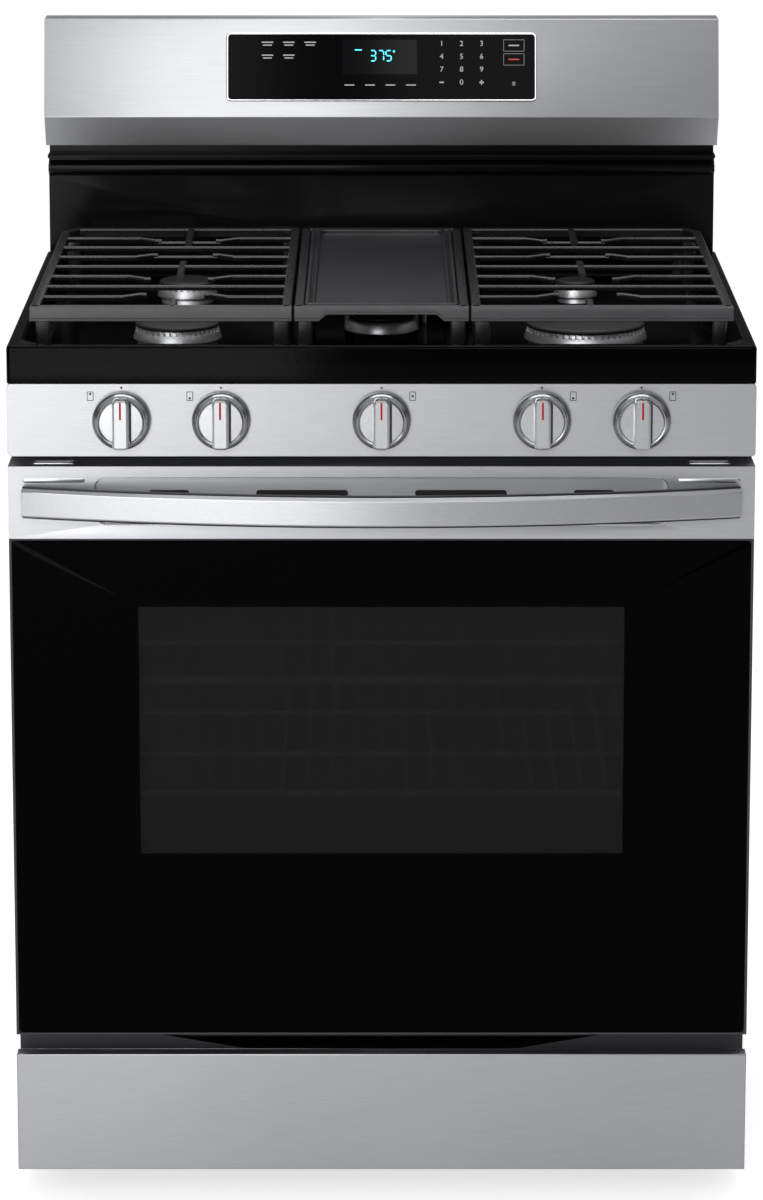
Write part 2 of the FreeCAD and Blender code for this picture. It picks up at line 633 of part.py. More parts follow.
def middleGrate():
    # open frame whose front and rear bars arch up between the feet, with two inner ledges
    outer = wide("mid_outer", "grate_split - 1", ("grate_front", "grate_back"),
                 ("grate_top - grate_tall", "grate_top"))
    inner = wide("mid_inner", "grate_split - 11", ("grate_front + 12", "grate_back - 11"),
                 ("grate_top - grate_tall - 1", "grate_top + 1"))
    arch = plate("mid_arch", "XZ_Plane", [
        ("-64", "grate_top - grate_tall - 1"), ("-56", "grate_top - 8"), ("56", "grate_top - 8"),
        ("64", "grate_top - grate_tall - 1")], "depth")
    bind(arch, "Placement.Base.y", "front + depth")
    pieces = [cut("mid_frame", outer, [inner, arch])]
    for index, y in enumerate(("grate_front + 130", "grate_front + 392")):
        pieces.append(wide("mid_bar%d" % index, "grate_split - 8", (y, y + " + 8"),
                           ("grate_top - grate_tall", "grate_top - 8.5")))
    for side in (-1, 1):
        spans = sorted([side * size("grate_split - 22"), side * size("grate_split - 4")])
        for y0, y1 in (("grate_front + 3", "grate_front + 16"), ("grate_back - 30", "grate_back - 16")):
            pieces.append(block("mid_leg_%d" % len(pieces), spans, (y0, y1),
                                ("well + 0.3", "grate_top - 8.3")))
    node("grate_middle", join("grate_middle", pieces))


def griddle():
    # flat plate with a raised rim and a groove down each side, resting on the middle grate
    outer = soft("griddle_outer", ("-grate_split + 12", "grate_split - 12"),
                 ("grate_front + 13", "grate_back - 12"), ("grate_top - 8", "grate_top + 1"), (0, 0, 1), 6)
    tray = soft("griddle_tray", ("-grate_split + 22", "grate_split - 22"),
                ("grate_front + 20", "grate_back - 26"), ("grate_top - 4", "grate_top + 3"), (0, 0, 1), 8)
    grooves = []
    for side in (-1, 1):
        spans = sorted([side * size("grate_split - 19"), side * size("grate_split - 16")])
        grooves.append(block("groove%d" % (side + 1), spans, ("grate_front + 22", "grate_back - 22"),
                             ("grate_top - 3", "grate_top + 3")))
    node("griddle", cut("griddle", outer, [tray] + grooves))


# ---- oven racks ----

def rack(name, level):
    # outer loop of thick wire, thin wires front to back and two cross wires under them
    z = "rack_first + %d * rack_pitch + 3.4" % level
    y0 = "frame_depth + 34"
    y1 = "cavity_back - 14"
    pieces = []
    for side in (-1, 1):
        x = "%d * (rack_half - 3)" % side
        pieces.append(rod("%s_side%d" % (name, side + 1), (x, y0, z), (0, 1, 0), 3,
                          "(%s) - (%s)" % (y1, y0)))
    for index, y in enumerate((y0, y1)):
        start = ("-rack_half + 3", y, z)
        pieces.append(rod("%s_end%d" % (name, index), start, (1, 0, 0), 3, "2 * rack_half - 6"))
    for index, y in enumerate(("frame_depth + 190", "frame_depth + 360")):
        start = ("-rack_half + 3", y, z)
        pieces.append(rod("%s_mid%d" % (name, index), start, (1, 0, 0), 2.5, "2 * rack_half - 6"))
    for step in range(-10, 11):
        start = ("%d * (rack_half - 3) / 11" % step, y0, z + " + 1.2")
        pieces.append(rod("%s_wire%d" % (name, step + 10), start, (0, 1, 0), 1.8, "(%s) - (%s)" % (y1, y0)))
    node(name, join(name, pieces))


# ---- oven door ----

def doorFrame():
    # outer ring of the door with a backing sheet behind the glass, windowed and notched for the hinges
    outer = wide("ring_solid", "width/2", ("0.6", "door_thick - 2.05"), ("door_low", "glass_high - 0.5"))
    core = wide("ring_core", "width/2 - lip", ("-1", "door_thick"), ("door_low + 2", "glass_high - 2"))
    backing = wide("ring_backing", "width/2 - 1", ("4.4", "5.6"), ("door_low + 1", "glass_high - 1"))
    hole = wide("ring_window", "window_half", ("3", "8"), ("window_low", "window_high"))
    sheetBack = cut("ring_sheet", backing, [hole])
    ring = join("ring_all", [cut("ring_walls", outer, [core]), sheetBack])
    node("door_frame", cut("door_frame", ring, hingeNotches("frame_notch")))


def hingeNotches(name):
    # slots that let each fixed hinge bracket swing through the door's lower edge
    notches = []
    for side in (-1, 1):
        spans = sorted([side * 341, side * 351])
        notches.append(block("%s%d" % (name, side + 1), spans, ("hinge_in - 10", "door_thick + 1"),
                             ("door_low - 1", "hinge_z + 12")))
    return notches


def doorGlass():
    # outer glass between the side lips
    pane = soft("door_pane", ("-width/2 + lip + 0.5", "width/2 - lip - 0.5"), ("0", "4.3"),
                ("door_low + 2.5", "glass_high - 2.5"), (0, 1, 0), 5)
    node("door_glass", pane)


def doorTrim():
    # steel band along the top of the door: a wide shallow recess with four vent slots
    outer = wide("trim_outer", "width/2", ("0", "door_thick - 2.05"), ("glass_high", "door_high"))
    hollow = wide("trim_hollow", "width/2 - 1.5", ("6", "door_thick"),
                  ("glass_high + 1.5", "door_high - 1.5"))
    recess = soft("trim_recess", (-290, 290), (-1, "3.5"), (730, 778), (0, 1, 0), 10)
    slots = []
    for index, (x0, x1) in enumerate(((-236, -195), (-127, -34), (34, 127), (195, 236))):
        slots.append(soft("trim_slot%d" % index, (x0, x1), (1, 8), (758, 765), (0, 1, 0), 3))
    node("door_top_trim", cut("door_top_trim", outer, [hollow, recess] + slots))


def doorInner():
    # enamelled liner on the door's back with a raised field round the window
    sheetBack = wide("inner_sheet", "width/2 - 4", ("door_thick - 2", "door_thick"),
                     ("door_low + 1", "door_high - 3"))
    hole = wide("inner_hole", "window_half", ("door_thick - 3", "door_thick + 1"),
                ("window_low", "window_high"))
    node("door_inner_panel", cut("door_inner_panel", sheetBack, [hole] + hingeNotches("inner_notch")))
    box = wide("pack_box", "window_half + 14", ("7", "door_thick - 2.05"),
               ("window_low - 14", "window_high + 14"))
    bore = wide("pack_bore", "window_half", ("6", "door_thick"), ("window_low", "window_high"))
    seats = [wide("pack_seat%d" % y, "window_half + 6", (y, y + 4.2), ("window_low - 6", "window_high + 6"))
             for y in (16, 32)]
    node("door_window_frame", cut("door_window_frame", box, [bore] + seats))
    panes = [wide("pack_pane%d" % y, "window_half + 5.9", (y + 0.1, y + 4.1),
                  ("window_low - 5.9", "window_high + 5.9"))
             for y in (16, 32)]
    node("door_inner_glass", group("door_inner_glass", panes))


def doorHandle():
    # bowed flat bar: part of a ring whose radius follows from the bar's length and bow
    bow = "(handle_out - handle_end)"
    radius = "(handle_half^2 + %s^2) / (2 * %s)" % (bow, bow)
    centre = ("0", "-handle_out + %s" % radius, "handle_low")
    outer = rod("bar_outer", centre, (0, 0, 1), radius, "handle_tall")
    inner = rod("bar_inner", centre, (0, 0, 1), "%s - handle_bar" % radius, "handle_tall")
    ring = cut("bar_ring", outer, [inner])
    window = wide("bar_window", "handle_half", ("-handle_out - 5", "0"),
                  ("handle_low - 1", "handle_low + handle_tall + 1"))
    bar = doc.addObject("Part::Common", "bar")
    bar.Base = ring
    bar.Tool = window
    node("door_handle", bar)
    post = soft("post", ("handle_half - 24", "handle_half - 4"), ("-handle_end + 4.5", "-0.05"),
                ("handle_low + 3", "handle_low + handle_tall - 3"), (0, 1, 0), 4)
    kept = doc.addObject("Part::Common", "post_kept")
    kept.Base = post
    kept.Tool = rod("post_limit", centre, (0, 0, 1), "%s - handle_bar" % radius, "handle_tall")
    node("handle_mounts", pair("handle_mounts", kept))


def doorHinges():
    # bushes inside the door turn on pins held by brackets on the front frame
    bushes = []
    for low, high in ((335, 342.5), (349.5, 357)):
        bush = rod("bush%d" % low, (low, "hinge_in", "hinge_z"), (1, 0, 0), 5.9, high - low)
        foot = block("bush_foot%d" % low, (low, high), ("hinge_in - 5.9", "hinge_in + 5.9"),
                     ("door_low + 2.05", "hinge_z"))
        bore = rod("bush_bore%d" % low, (low - 1, "hinge_in", "hinge_z"), (1, 0, 0), "pin_r + 0.05",
                   high - low + 2)
        bushes.append(cut("bushing%d" % low, join("bush_solid%d" % low, [bush, foot]), [bore]))
    right = group("hinge_right", bushes)
    node("door_hinges", group("door_hinges", [right, mirrored("hinge_left", right)]))
    pin = rod("hinge_pin", (335.5, "hinge_in", "hinge_z"), (1, 0, 0), "pin_r", 21)
    arm = block("hinge_arm", (344.5, 347.5), ("hinge_in - 5", "frame_depth"),
                ("hinge_z - 5", "hinge_z + 5"))
    node("hinge_brackets", pair("hinge_brackets", join("bracket", [pin, arm])))


# ---- storage drawer ----

def drawer():
    # bent steel front, dark backing with a low middle, and an open box with side runners
    outer = wide("front_outer", "width/2", ("0", "18"), ("drawer_low", "drawer_high"))
    inner = wide("front_inner", "width/2 - sheet", ("sheet", "19"),
                 ("drawer_low + sheet", "drawer_high - sheet"))
    node("drawer_front", cut("drawer_front", outer, [inner]))
    backing = plate("backing", "XZ_Plane", [
        ("-width/2 + 2", "drawer_low + 4"), ("width/2 - 2", "drawer_low + 4"),
        ("width/2 - 2", "backing_high"), ("240", "backing_high"), ("142", "drawer_high - 6"),
        ("-142", "drawer_high - 6"), ("-240", "backing_high"), ("-width/2 + 2", "backing_high")], "2")
    bind(backing, "Placement.Base.y", "front + 37")
    joiner = wide("joiner", "drawer_half", ("1.25", "35"), ("60", "64"))
    upper = wide("joiner_upper", "drawer_half", ("1.25", "35"), ("140", "144"))
    node("drawer_backing", join("drawer_backing", [backing, joiner, upper]))
    shell = wide("tub_outer", "drawer_half", ("37.05", "drawer_back"), ("52", "152"))
    space = wide("tub_inner", "drawer_half - 1", ("38.2", "drawer_back - 1"), ("53", "153"))
    pieces = [cut("tub", shell, [space])]
    for side in (-1, 1):
        spans = sorted([side * size("drawer_half - 0.5"), side * size("drawer_half + 5.5")])
        pieces.append(block("runner%d" % (side + 1), spans, ("60", "drawer_back - 4"), ("91.4", "94")))
    node("drawer_box", join("drawer_box", pieces))


def checkAndWrite():
    # every object must be sound before any file is written
    doc.recompute()
    for item in doc.Objects:
        if "Invalid" in item.State or "Error" in item.State:
            raise SystemExit("failed: " + item.Name)
    for item in nodes:
        if item.Shape.isNull() or not item.Shape.isValid():
            raise SystemExit("bad shape: " + item.Label)
    os.makedirs("parts", exist_ok=True)
    for item in nodes:
        item.Shape.exportStep("parts/%s.step" % item.Label)
    print(len(nodes), "sub-parts written")


sidePanels()
rearPanel()
baseFrame()
frontFrame()
ovenLiner()
ovenFloor()
insulation()
gasket()
ovenBurners()
ovenLamp()
feet()
cooktop()
burners()
burnerCaps()
gasLines()
knobPanel()
knobs()
backguard()
sideGrate()
middleGrate()
griddle()
rack("rack_upper", 4)
rack("rack_lower", 2)
doorFrame()
doorGlass()
doorTrim()
doorInner()
doorHandle()
doorHinges()
drawer()
checkAndWrite()
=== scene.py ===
import json
import math
import bmesh
import bpy
import numpy as np
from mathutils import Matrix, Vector

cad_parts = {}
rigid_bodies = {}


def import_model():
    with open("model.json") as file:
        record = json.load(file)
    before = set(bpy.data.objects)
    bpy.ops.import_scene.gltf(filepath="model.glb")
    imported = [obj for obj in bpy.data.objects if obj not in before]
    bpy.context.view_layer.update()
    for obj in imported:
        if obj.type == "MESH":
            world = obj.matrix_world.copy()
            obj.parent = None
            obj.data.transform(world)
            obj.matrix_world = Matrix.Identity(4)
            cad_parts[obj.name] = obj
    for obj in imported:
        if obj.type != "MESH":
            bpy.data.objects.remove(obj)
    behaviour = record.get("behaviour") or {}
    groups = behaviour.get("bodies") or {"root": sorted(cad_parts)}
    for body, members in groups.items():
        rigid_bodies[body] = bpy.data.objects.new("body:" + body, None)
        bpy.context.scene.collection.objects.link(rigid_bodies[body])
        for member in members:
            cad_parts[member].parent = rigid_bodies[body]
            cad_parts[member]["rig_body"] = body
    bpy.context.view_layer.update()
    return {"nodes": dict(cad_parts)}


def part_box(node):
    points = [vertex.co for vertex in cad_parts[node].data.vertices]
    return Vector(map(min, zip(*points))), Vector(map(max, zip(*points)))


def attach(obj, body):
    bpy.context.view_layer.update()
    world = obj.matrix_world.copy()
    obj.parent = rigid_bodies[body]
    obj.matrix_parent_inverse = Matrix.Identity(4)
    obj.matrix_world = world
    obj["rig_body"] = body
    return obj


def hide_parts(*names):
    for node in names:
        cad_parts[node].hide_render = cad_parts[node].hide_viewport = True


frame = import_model()
nodes = frame["nodes"]
mm = 0.001
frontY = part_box("door_glass")[0].y  # the door's front plane
print("frame loaded:", len(nodes), "nodes")


# shape helpers: every new surface is a few rows of points, joined as whole arrays

def loft(rows, closed=False):
    # rows of equal length, each a closed loop; neighbours are joined by quads, and the ends are capped or joined up
    rows = np.asarray(rows, float)
    count, across = rows.shape[:2]
    index = np.arange(count * across).reshape(count, across)
    if closed:
        index = np.vstack([index, index[:1]])
    a, d = index[:-1], index[1:]
    faces = np.stack([a, np.roll(a, -1, 1), np.roll(d, -1, 1), d], -1).reshape(-1, 4).tolist()
    if not closed:
        faces += [index[0][::-1].tolist(), index[-1].tolist()]
    return rows.reshape(-1, 3), faces


def stack(shapes):
    # several shapes as one: points in a row, with each shape's face numbers moved up
    points, faces, start = [], [], 0
    for cloud, loops in shapes:
        points.append(cloud)
        faces += [[number + start for number in loop] for loop in loops]
        start += len(cloud)
    return np.vstack(points), faces


def roundLoop(halfWide, halfTall, radius, steps=6):
    # rounded rectangle as a closed loop: four quarter circles, corner by corner
    radius = min(radius, halfWide, halfTall)
    turn = np.linspace(0, math.pi / 2, steps + 1)
    loops = []
    for corner, (sx, sy) in enumerate(((1, 1), (-1, 1), (-1, -1), (1, -1))):
        angle = turn + corner * math.pi / 2
        loops.append(np.stack([sx * (halfWide - radius) + radius * np.cos(angle),
                               sy * (halfTall - radius) + radius * np.sin(angle)], 1))
    return np.vstack(loops)


def slab(centre, half, radius, levels, axis="y", steps=6):
    # stack of rounded rectangles along an axis; each level is a place along the axis and an inset from the outline
    rows = []
    for along, inset in levels:
        flat = roundLoop(half[0] - inset, half[1] - inset, max(radius - inset, 0.0002), steps)
        flat = flat + np.array(centre)
        deep = np.full(len(flat), along)
        rows.append(np.column_stack([flat[:, 0], deep, flat[:, 1]] if axis == "y" else [flat, deep]))
    return loft(rows)


def turnedRows(profile, centre, axis="z", count=64, wave=None):
    # profile of radius and height spun round an axis; wave changes the radius with the angle on each level
    angle = np.linspace(0, 2 * math.pi, count, endpoint=False)
    rows = []
    for level, (radius, along) in enumerate(profile):
        reach = radius + (wave(angle, level) if wave else 0)
        side, up = reach * np.cos(angle), reach * np.sin(angle)
        deep = np.full(count, along)
        rows.append(np.stack([side, deep, up] if axis == "y" else [side, up, deep], 1) + np.array(centre))
    return loft(rows)


def carried(path, profile):
    # profile (sideways, up) carried along a level path; at each point it faces the mean of the two runs
    path = np.asarray(path, float)
    ahead = np.roll(path, -1, 0) - path
    behind = path - np.roll(path, 1, 0)
    ahead[-1], behind[0] = behind[-1], ahead[0]
    unitA = ahead / np.linalg.norm(ahead, axis=1, keepdims=True)
    unitB = behind / np.linalg.norm(behind, axis=1, keepdims=True)
    mean = unitA + unitB
    mean /= np.linalg.norm(mean, axis=1, keepdims=True)
    stretch = 1 / np.maximum((mean * unitA).sum(1), 0.4)
    side = np.stack([mean[:, 1], -mean[:, 0], np.zeros(len(path))], 1) * stretch[:, None]
    up = np.array([0, 0, 1.0])
    rows = [spot + profile[:, :1] * across + profile[:, 1:] * up for spot, across in zip(path, side)]
    return loft(rows)


def piece(name, shape, body, material, stands=(), bevel=0, smooth=35):
    # closed mesh with outward faces, riding on its body
    points, faces = shape
    mesh = bpy.data.meshes.new(name)
    mesh.from_pydata(points.tolist(), [], faces)
    work = bmesh.new()
    work.from_mesh(mesh)
    bmesh.ops.remove_doubles(work, verts=work.verts, dist=1e-6)
    bmesh.ops.recalc_face_normals(work, faces=work.faces)
    work.to_mesh(mesh)
    work.free()
    return finishPiece(name, mesh, body, material, stands, bevel, smooth)


def finishPiece(name, mesh, body, material, stands, bevel, smooth):
    # shading, material, edge bevel, body, slot and the nodes that the piece stands in for
    mesh.shade_smooth()
    mesh.set_sharp_from_angle(angle=math.radians(smooth))
    mesh.materials.append(material)
    thing = bpy.data.objects.new(name, mesh)
    bpy.context.scene.collection.objects.link(thing)
    if bevel:
        edge = thing.modifiers.new("edge", "BEVEL")
        edge.width = bevel
        edge.segments = 2
        edge.limit_method = "ANGLE"
        edge.angle_limit = math.radians(40)
        edge.harden_normals = False
    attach(thing, body)
    if stands:
        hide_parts(*stands)
    return thing


def softCopy(node, material, bevel):
    # the node's own shape with its corners merged and its edges softened
    mesh = nodes[node].data.copy()
    mesh.materials.clear()
    work = bmesh.new()
    work.from_mesh(mesh)
    bmesh.ops.remove_doubles(work, verts=work.verts, dist=2e-5)
    bmesh.ops.dissolve_limit(work, angle_limit=math.radians(1), verts=work.verts, edges=work.edges)
    work.to_mesh(mesh)
    work.free()
    body = nodes[node]["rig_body"]
    return finishPiece(node + "_finished", mesh, body, material, (node,), bevel, 35)


# materials

def toLinear(hexColour):
    # sRGB hex to linear red, green, blue, alpha
    channels = [int(hexColour[k:k + 2], 16) / 255 for k in (1, 3, 5)]
    return [c / 12.92 if c <= 0.04045 else ((c + 0.055) / 1.055) ** 2.4 for c in channels] + [1.0]


def addNode(tree, kind, inputs=None, stops=None, **settings):
    # one node with its settings; an input is a value or another node's output socket, stops are a ramp's colours
    made = tree.nodes.new(kind)
    for index, (spot, colour) in enumerate(stops or ()):
        item = made.color_ramp.elements[index] if index < 2 else made.color_ramp.elements.new(spot)
        item.position = spot
        item.color = toLinear(colour)
    for key, value in settings.items():
        setattr(made, key, value)
    for key, value in (inputs or {}).items():
        if isinstance(value, bpy.types.NodeSocket):
            tree.links.new(value, made.inputs[key])
        else:
            made.inputs[key].default_value = value
    return made


def startMaterial(name, colour, metallic, roughness, **more):
    # a new material, its tree, its shader and its Object coordinates
    material = bpy.data.materials.new(name)
    material.use_nodes = True
    tree = material.node_tree
    shader = tree.nodes["Principled BSDF"]
    shader.inputs["Base Color"].default_value = toLinear(colour)
    shader.inputs["Metallic"].default_value = metallic
    shader.inputs["Roughness"].default_value = roughness
    for key, value in more.items():
        shader.inputs[key.replace("_", " ")].default_value = value
    place = addNode(tree, "ShaderNodeTexCoord").outputs["Object"]
    return material, tree, shader, place


def brushedSteel(name, light, dark, roughness, metallic=1.0):
    # stainless sheet, belt brushed: fine streaks run along the sheet and spread each highlight across them. They
    # are 40 mm long and about 0.7 mm apart, drawn coarser than the real 0.2 mm so that they show
    material, tree, shader, place = startMaterial(name, light, metallic, roughness)
    lines = addNode(tree, "ShaderNodeMapping", {"Vector": place, "Scale": [25.0, 1500.0, 1500.0]})
    grain = addNode(tree, "ShaderNodeTexNoise", {"Vector": lines.outputs[0], "Scale": 1.0, "Detail": 2.0,
                                                 "Roughness": 0.5})
    patches = addNode(tree, "ShaderNodeTexNoise", {"Vector": place, "Scale": 3.0, "Detail": 2.0})
    tint = addNode(tree, "ShaderNodeValToRGB", {"Fac": grain.outputs["Fac"]}, [(0.25, dark), (0.75, light)])
    tree.links.new(tint.outputs["Color"], shader.inputs["Base Color"])
    rough = addNode(tree, "ShaderNodeMapRange", {"Value": patches.outputs["Fac"], "From Min": 0.3, "From Max": 0.7,
                                                 "To Min": roughness - 0.02, "To Max": roughness + 0.03})
    tree.links.new(rough.outputs[0], shader.inputs["Roughness"])
    bump = addNode(tree, "ShaderNodeBump", {"Height": grain.outputs["Fac"], "Strength": 0.05, "Distance": 0.0001})
    tree.links.new(bump.outputs[0], shader.inputs["Normal"])
    around = addNode(tree, "ShaderNodeTangent", direction_type="RADIAL", axis="Z")
    tree.links.new(around.outputs[0], shader.inputs["Tangent"])
    shader.inputs["Anisotropic"].default_value = 0.6
    shader.inputs["Anisotropic Rotation"].default_value = 0.25
    return material


def glossEnamel(name, colour, roughness, specular, speckle=None):
    # porcelain enamel fired on steel: glassy, with a faint orange-peel wave about 5 mm long
    material, tree, shader, place = startMaterial(name, colour, 0.0, roughness, Specular_IOR_Level=specular)
    wave = addNode(tree, "ShaderNodeTexNoise", {"Vector": place, "Scale": 220.0, "Detail": 1.0})
    bump = addNode(tree, "ShaderNodeBump", {"Height": wave.outputs["Fac"], "Strength": 0.04, "Distance": 0.0004})
    tree.links.new(bump.outputs[0], shader.inputs["Normal"])
    cloud = addNode(tree, "ShaderNodeTexNoise", {"Vector": place, "Scale": 9.0, "Detail": 3.0})
    rough = addNode(tree, "ShaderNodeMapRange", {"Value": cloud.outputs["Fac"], "To Min": roughness * 0.8,
                                                 "To Max": roughness * 1.25})
    tree.links.new(rough.outputs[0], shader.inputs["Roughness"])
    if speckle:
        dots = addNode(tree, "ShaderNodeTexVoronoi", {"Vector": place, "Scale": 420.0})
        tint = addNode(tree, "ShaderNodeValToRGB", {"Fac": dots.outputs["Distance"]},
                       [(0.16, speckle), (0.24, colour)])
        tree.links.new(tint.outputs["Color"], shader.inputs["Base Color"])
    return material


def castMetal(name, colour, light, roughness, grit, depth, metallic=0.0, specular=0.5):
    # cast or drawn surface: a fine grit, about a millimetre across on the iron, breaks up the highlight, and broad
    # patches vary the colour a little
    material, tree, shader, place = startMaterial(name, colour, metallic, roughness, Specular_IOR_Level=specular)
    fine = addNode(tree, "ShaderNodeTexNoise", {"Vector": place, "Scale": grit, "Detail": 4.0, "Roughness": 0.6})
    broad = addNode(tree, "ShaderNodeTexNoise", {"Vector": place, "Scale": 25.0, "Detail": 2.0})
    tint = addNode(tree, "ShaderNodeValToRGB", {"Fac": broad.outputs["Fac"]}, [(0.35, colour), (0.7, light)])
    tree.links.new(tint.outputs["Color"], shader.inputs["Base Color"])
    bump = addNode(tree, "ShaderNodeBump", {"Height": fine.outputs["Fac"], "Strength": 0.3, "Distance": depth})
    tree.links.new(bump.outputs[0], shader.inputs["Normal"])
    rough = addNode(tree, "ShaderNodeMapRange", {"Value": fine.outputs["Fac"], "To Min": roughness - 0.08,
                                                 "To Max": roughness + 0.1})
    tree.links.new(rough.outputs[0], shader.inputs["Roughness"])
    return material


def paintedSheet(name, colour, roughness, specular=0.4):
    # powder coat or moulded plastic: a low, even texture about 1.5 mm across gives a soft sheen
    material, tree, shader, place = startMaterial(name, colour, 0.0, roughness, Specular_IOR_Level=specular)
    peel = addNode(tree, "ShaderNodeTexNoise", {"Vector": place, "Scale": 700.0, "Detail": 2.0})
    bump = addNode(tree, "ShaderNodeBump", {"Height": peel.outputs["Fac"], "Strength": 0.15, "Distance": 0.0003})
    tree.links.new(bump.outputs[0], shader.inputs["Normal"])
    cloud = addNode(tree, "ShaderNodeTexNoise", {"Vector": place, "Scale": 6.0, "Detail": 3.0})
    rough = addNode(tree, "ShaderNodeMapRange", {"Value": cloud.outputs["Fac"], "To Min": roughness - 0.05,
                                                 "To Max": roughness + 0.05})
    tree.links.new(rough.outputs[0], shader.inputs["Roughness"])
    return material


def spangledSheet(name, colour, light):
    # hot-dip galvanised steel: zinc crystals about 8 mm across, each a little lighter or darker
    material, tree, shader, place = startMaterial(name, colour, 0.9, 0.42)
    crystals = addNode(tree, "ShaderNodeTexVoronoi", {"Vector": place, "Scale": 120.0})
    tint = addNode(tree, "ShaderNodeValToRGB", {"Fac": crystals.outputs["Color"]}, [(0.1, colour), (0.9, light)])
    tree.links.new(tint.outputs["Color"], shader.inputs["Base Color"])
    rough = addNode(tree, "ShaderNodeMapRange", {"Value": crystals.outputs["Distance"], "To Min": 0.36,
                                                 "To Max": 0.5})
    tree.links.new(rough.outputs[0], shader.inputs["Roughness"])
    return material


def darkGlass(name, colour, roughness, specular, alpha=1.0):
    # float glass with a fired black print behind it; alpha under one leaves the tinted window see-through
    material, tree, shader, place = startMaterial(name, colour, 0.0, roughness, Specular_IOR_Level=specular,
                                                  Alpha=alpha)
    smear = addNode(tree, "ShaderNodeTexNoise", {"Vector": place, "Scale": 4.0, "Detail": 2.0})
    rough = addNode(tree, "ShaderNodeMapRange", {"Value": smear.outputs["Fac"], "To Min": roughness * 0.8,
                                                 "To Max": roughness * 1.3})
    tree.links.new(rough.outputs[0], shader.inputs["Roughness"])
    return material


def glowing(name, colour, strength):
    # a display segment that gives off a little light of its own, even all over; on the printed legends and marks the
    # same faint glow is painted light
    material, _, shader, _ = startMaterial(name, colour, 0.0, 0.5, Emission_Strength=strength)
    shader.inputs["Emission Color"].default_value = toLinear(colour)
    return material


def fibreCloth(name, colour, light, pitch):
    # woven glass fibre: crossed threads at a real pitch in mm
    material, tree, shader, place = startMaterial(name, colour, 0.0, 0.9)
    threads = addNode(tree, "ShaderNodeTexWave", {"Vector": place, "Scale": 1000 / pitch / 6.3, "Distortion": 1.5,
                                                  "Detail": 2.0})
    tint = addNode(tree, "ShaderNodeValToRGB", {"Fac": threads.outputs["Color"]}, [(0.2, colour), (0.8, light)])
    tree.links.new(tint.outputs["Color"], shader.inputs["Base Color"])
    bump = addNode(tree, "ShaderNodeBump", {"Height": threads.outputs["Fac"], "Strength": 0.5, "Distance": 0.0005})
    tree.links.new(bump.outputs[0], shader.inputs["Normal"])
    return material


stainless = brushedSteel("brushed_stainless_sheet", "#cbccce", "#c0c1c4", 0.32)
guardSteel = brushedSteel("brushed_guard_sheet", "#cfd0d2", "#c5c6c9", 0.44, metallic=0.86)
drawerSteel = brushedSteel("brushed_drawer_sheet", "#c6c7ca", "#bbbcc0", 0.34)
stainlessKnob = brushedSteel("satin_stainless_knob", "#d6d7d9", "#cacbce", 0.26)
# the ring's steel is darker than the disc's: painted shade for the dim reflections on its sloping face; its lower
# roughness is its own polish
shadedKnobRing = brushedSteel("turned_knob_ring_shaded", "#c2c3c6", "#adaeb2", 0.2)
polishedEdge = brushedSteel("polished_steel_bevel", "#e4e5e8", "#dcdddf", 0.14)
darkSteel = paintedSheet("dark_grey_painted_steel", "#3c3d40", 0.4)
sidePaint = paintedSheet("black_powder_coat", "#1c1d1f", 0.45)
drawerPaint = paintedSheet("grey_drawer_paint", "#3a3b3e", 0.45)
blackEnamel = glossEnamel("black_gloss_enamel", "#101012", 0.14, 0.1)
wellEnamel = glossEnamel("black_cooktop_enamel", "#040405", 0.1, 0.05)
cavityEnamel = glossEnamel("grey_oven_enamel", "#2c2f36", 0.25, 0.5, "#4a4d55")
capEnamel = castMetal("matte_black_burner_cap", "#1a1a1b", "#222223", 0.45, 900.0, 0.0002, specular=0.35)
castIron = castMetal("enamelled_cast_iron", "#19191b", "#222225", 0.27, 700.0, 0.0003, specular=0.7)
# the front rails' iron is lighter than the rest of the grate: painted light for the light their front faces catch
litRailIron = castMetal("lit_front_rail_iron", "#3d3d40", "#454548", 0.3, 700.0, 0.0002, specular=0.5)
griddleCoat = castMetal("nonstick_griddle_coat", "#262629", "#2d2d30", 0.3, 1200.0, 0.0001, specular=0.5)
burnerAlloy = castMetal("die_cast_aluminium", "#dedfe1", "#e8e9eb", 0.34, 900.0, 0.00004, metallic=0.85)
plainSteel = castMetal("plain_steel_tube", "#77746f", "#8b8883", 0.4, 500.0, 0.0001, metallic=1.0)
brass = castMetal("machined_brass", "#b8924a", "#c9a45c", 0.28, 800.0, 0.00005, metallic=1.0)
ceramic = castMetal("white_igniter_ceramic", "#dedbd2", "#e8e6df", 0.45, 900.0, 0.0001)
chromeWire = castMetal("bright_rack_chrome", "#c8c9cc", "#d4d5d8", 0.16, 300.0, 0.00003, metallic=1.0)
# the rack wires glow faintly, so that they can be made out through the tinted window
rackShader = chromeWire.node_tree.nodes["Principled BSDF"]
rackShader.inputs["Emission Color"].default_value = toLinear("#ffffff")
rackShader.inputs["Emission Strength"].default_value = 0.025
galvanised = spangledSheet("galvanised_sheet", "#8c9094", "#a5a9ad")
doorGlass = darkGlass("black_printed_glass", "#020203", 0.06, 0.03)
windowGlass = darkGlass("tinted_window_glass", "#202021", 0.06, 0.04, 0.6)
controlGlass = darkGlass("black_control_glass", "#050506", 0.08, 0.04)
innerGlass = darkGlass("clear_heat_glass", "#a3aaa8", 0.05, 0.3, 0.12)
lampGlass = darkGlass("frosted_lamp_glass", "#e6e2d3", 0.3, 0.5, 0.9)
rubber = paintedSheet("moulded_black_plastic", "#17181a", 0.6)
gasketCloth = fibreCloth("woven_glass_gasket", "#3a3a3a", "#5c5c5b", 1.5)
woolBlanket = fibreCloth("glass_wool_blanket", "#b9a878", "#d0c190", 6.0)
circuitGreen = paintedSheet("solder_mask_green", "#1d5a34", 0.35)
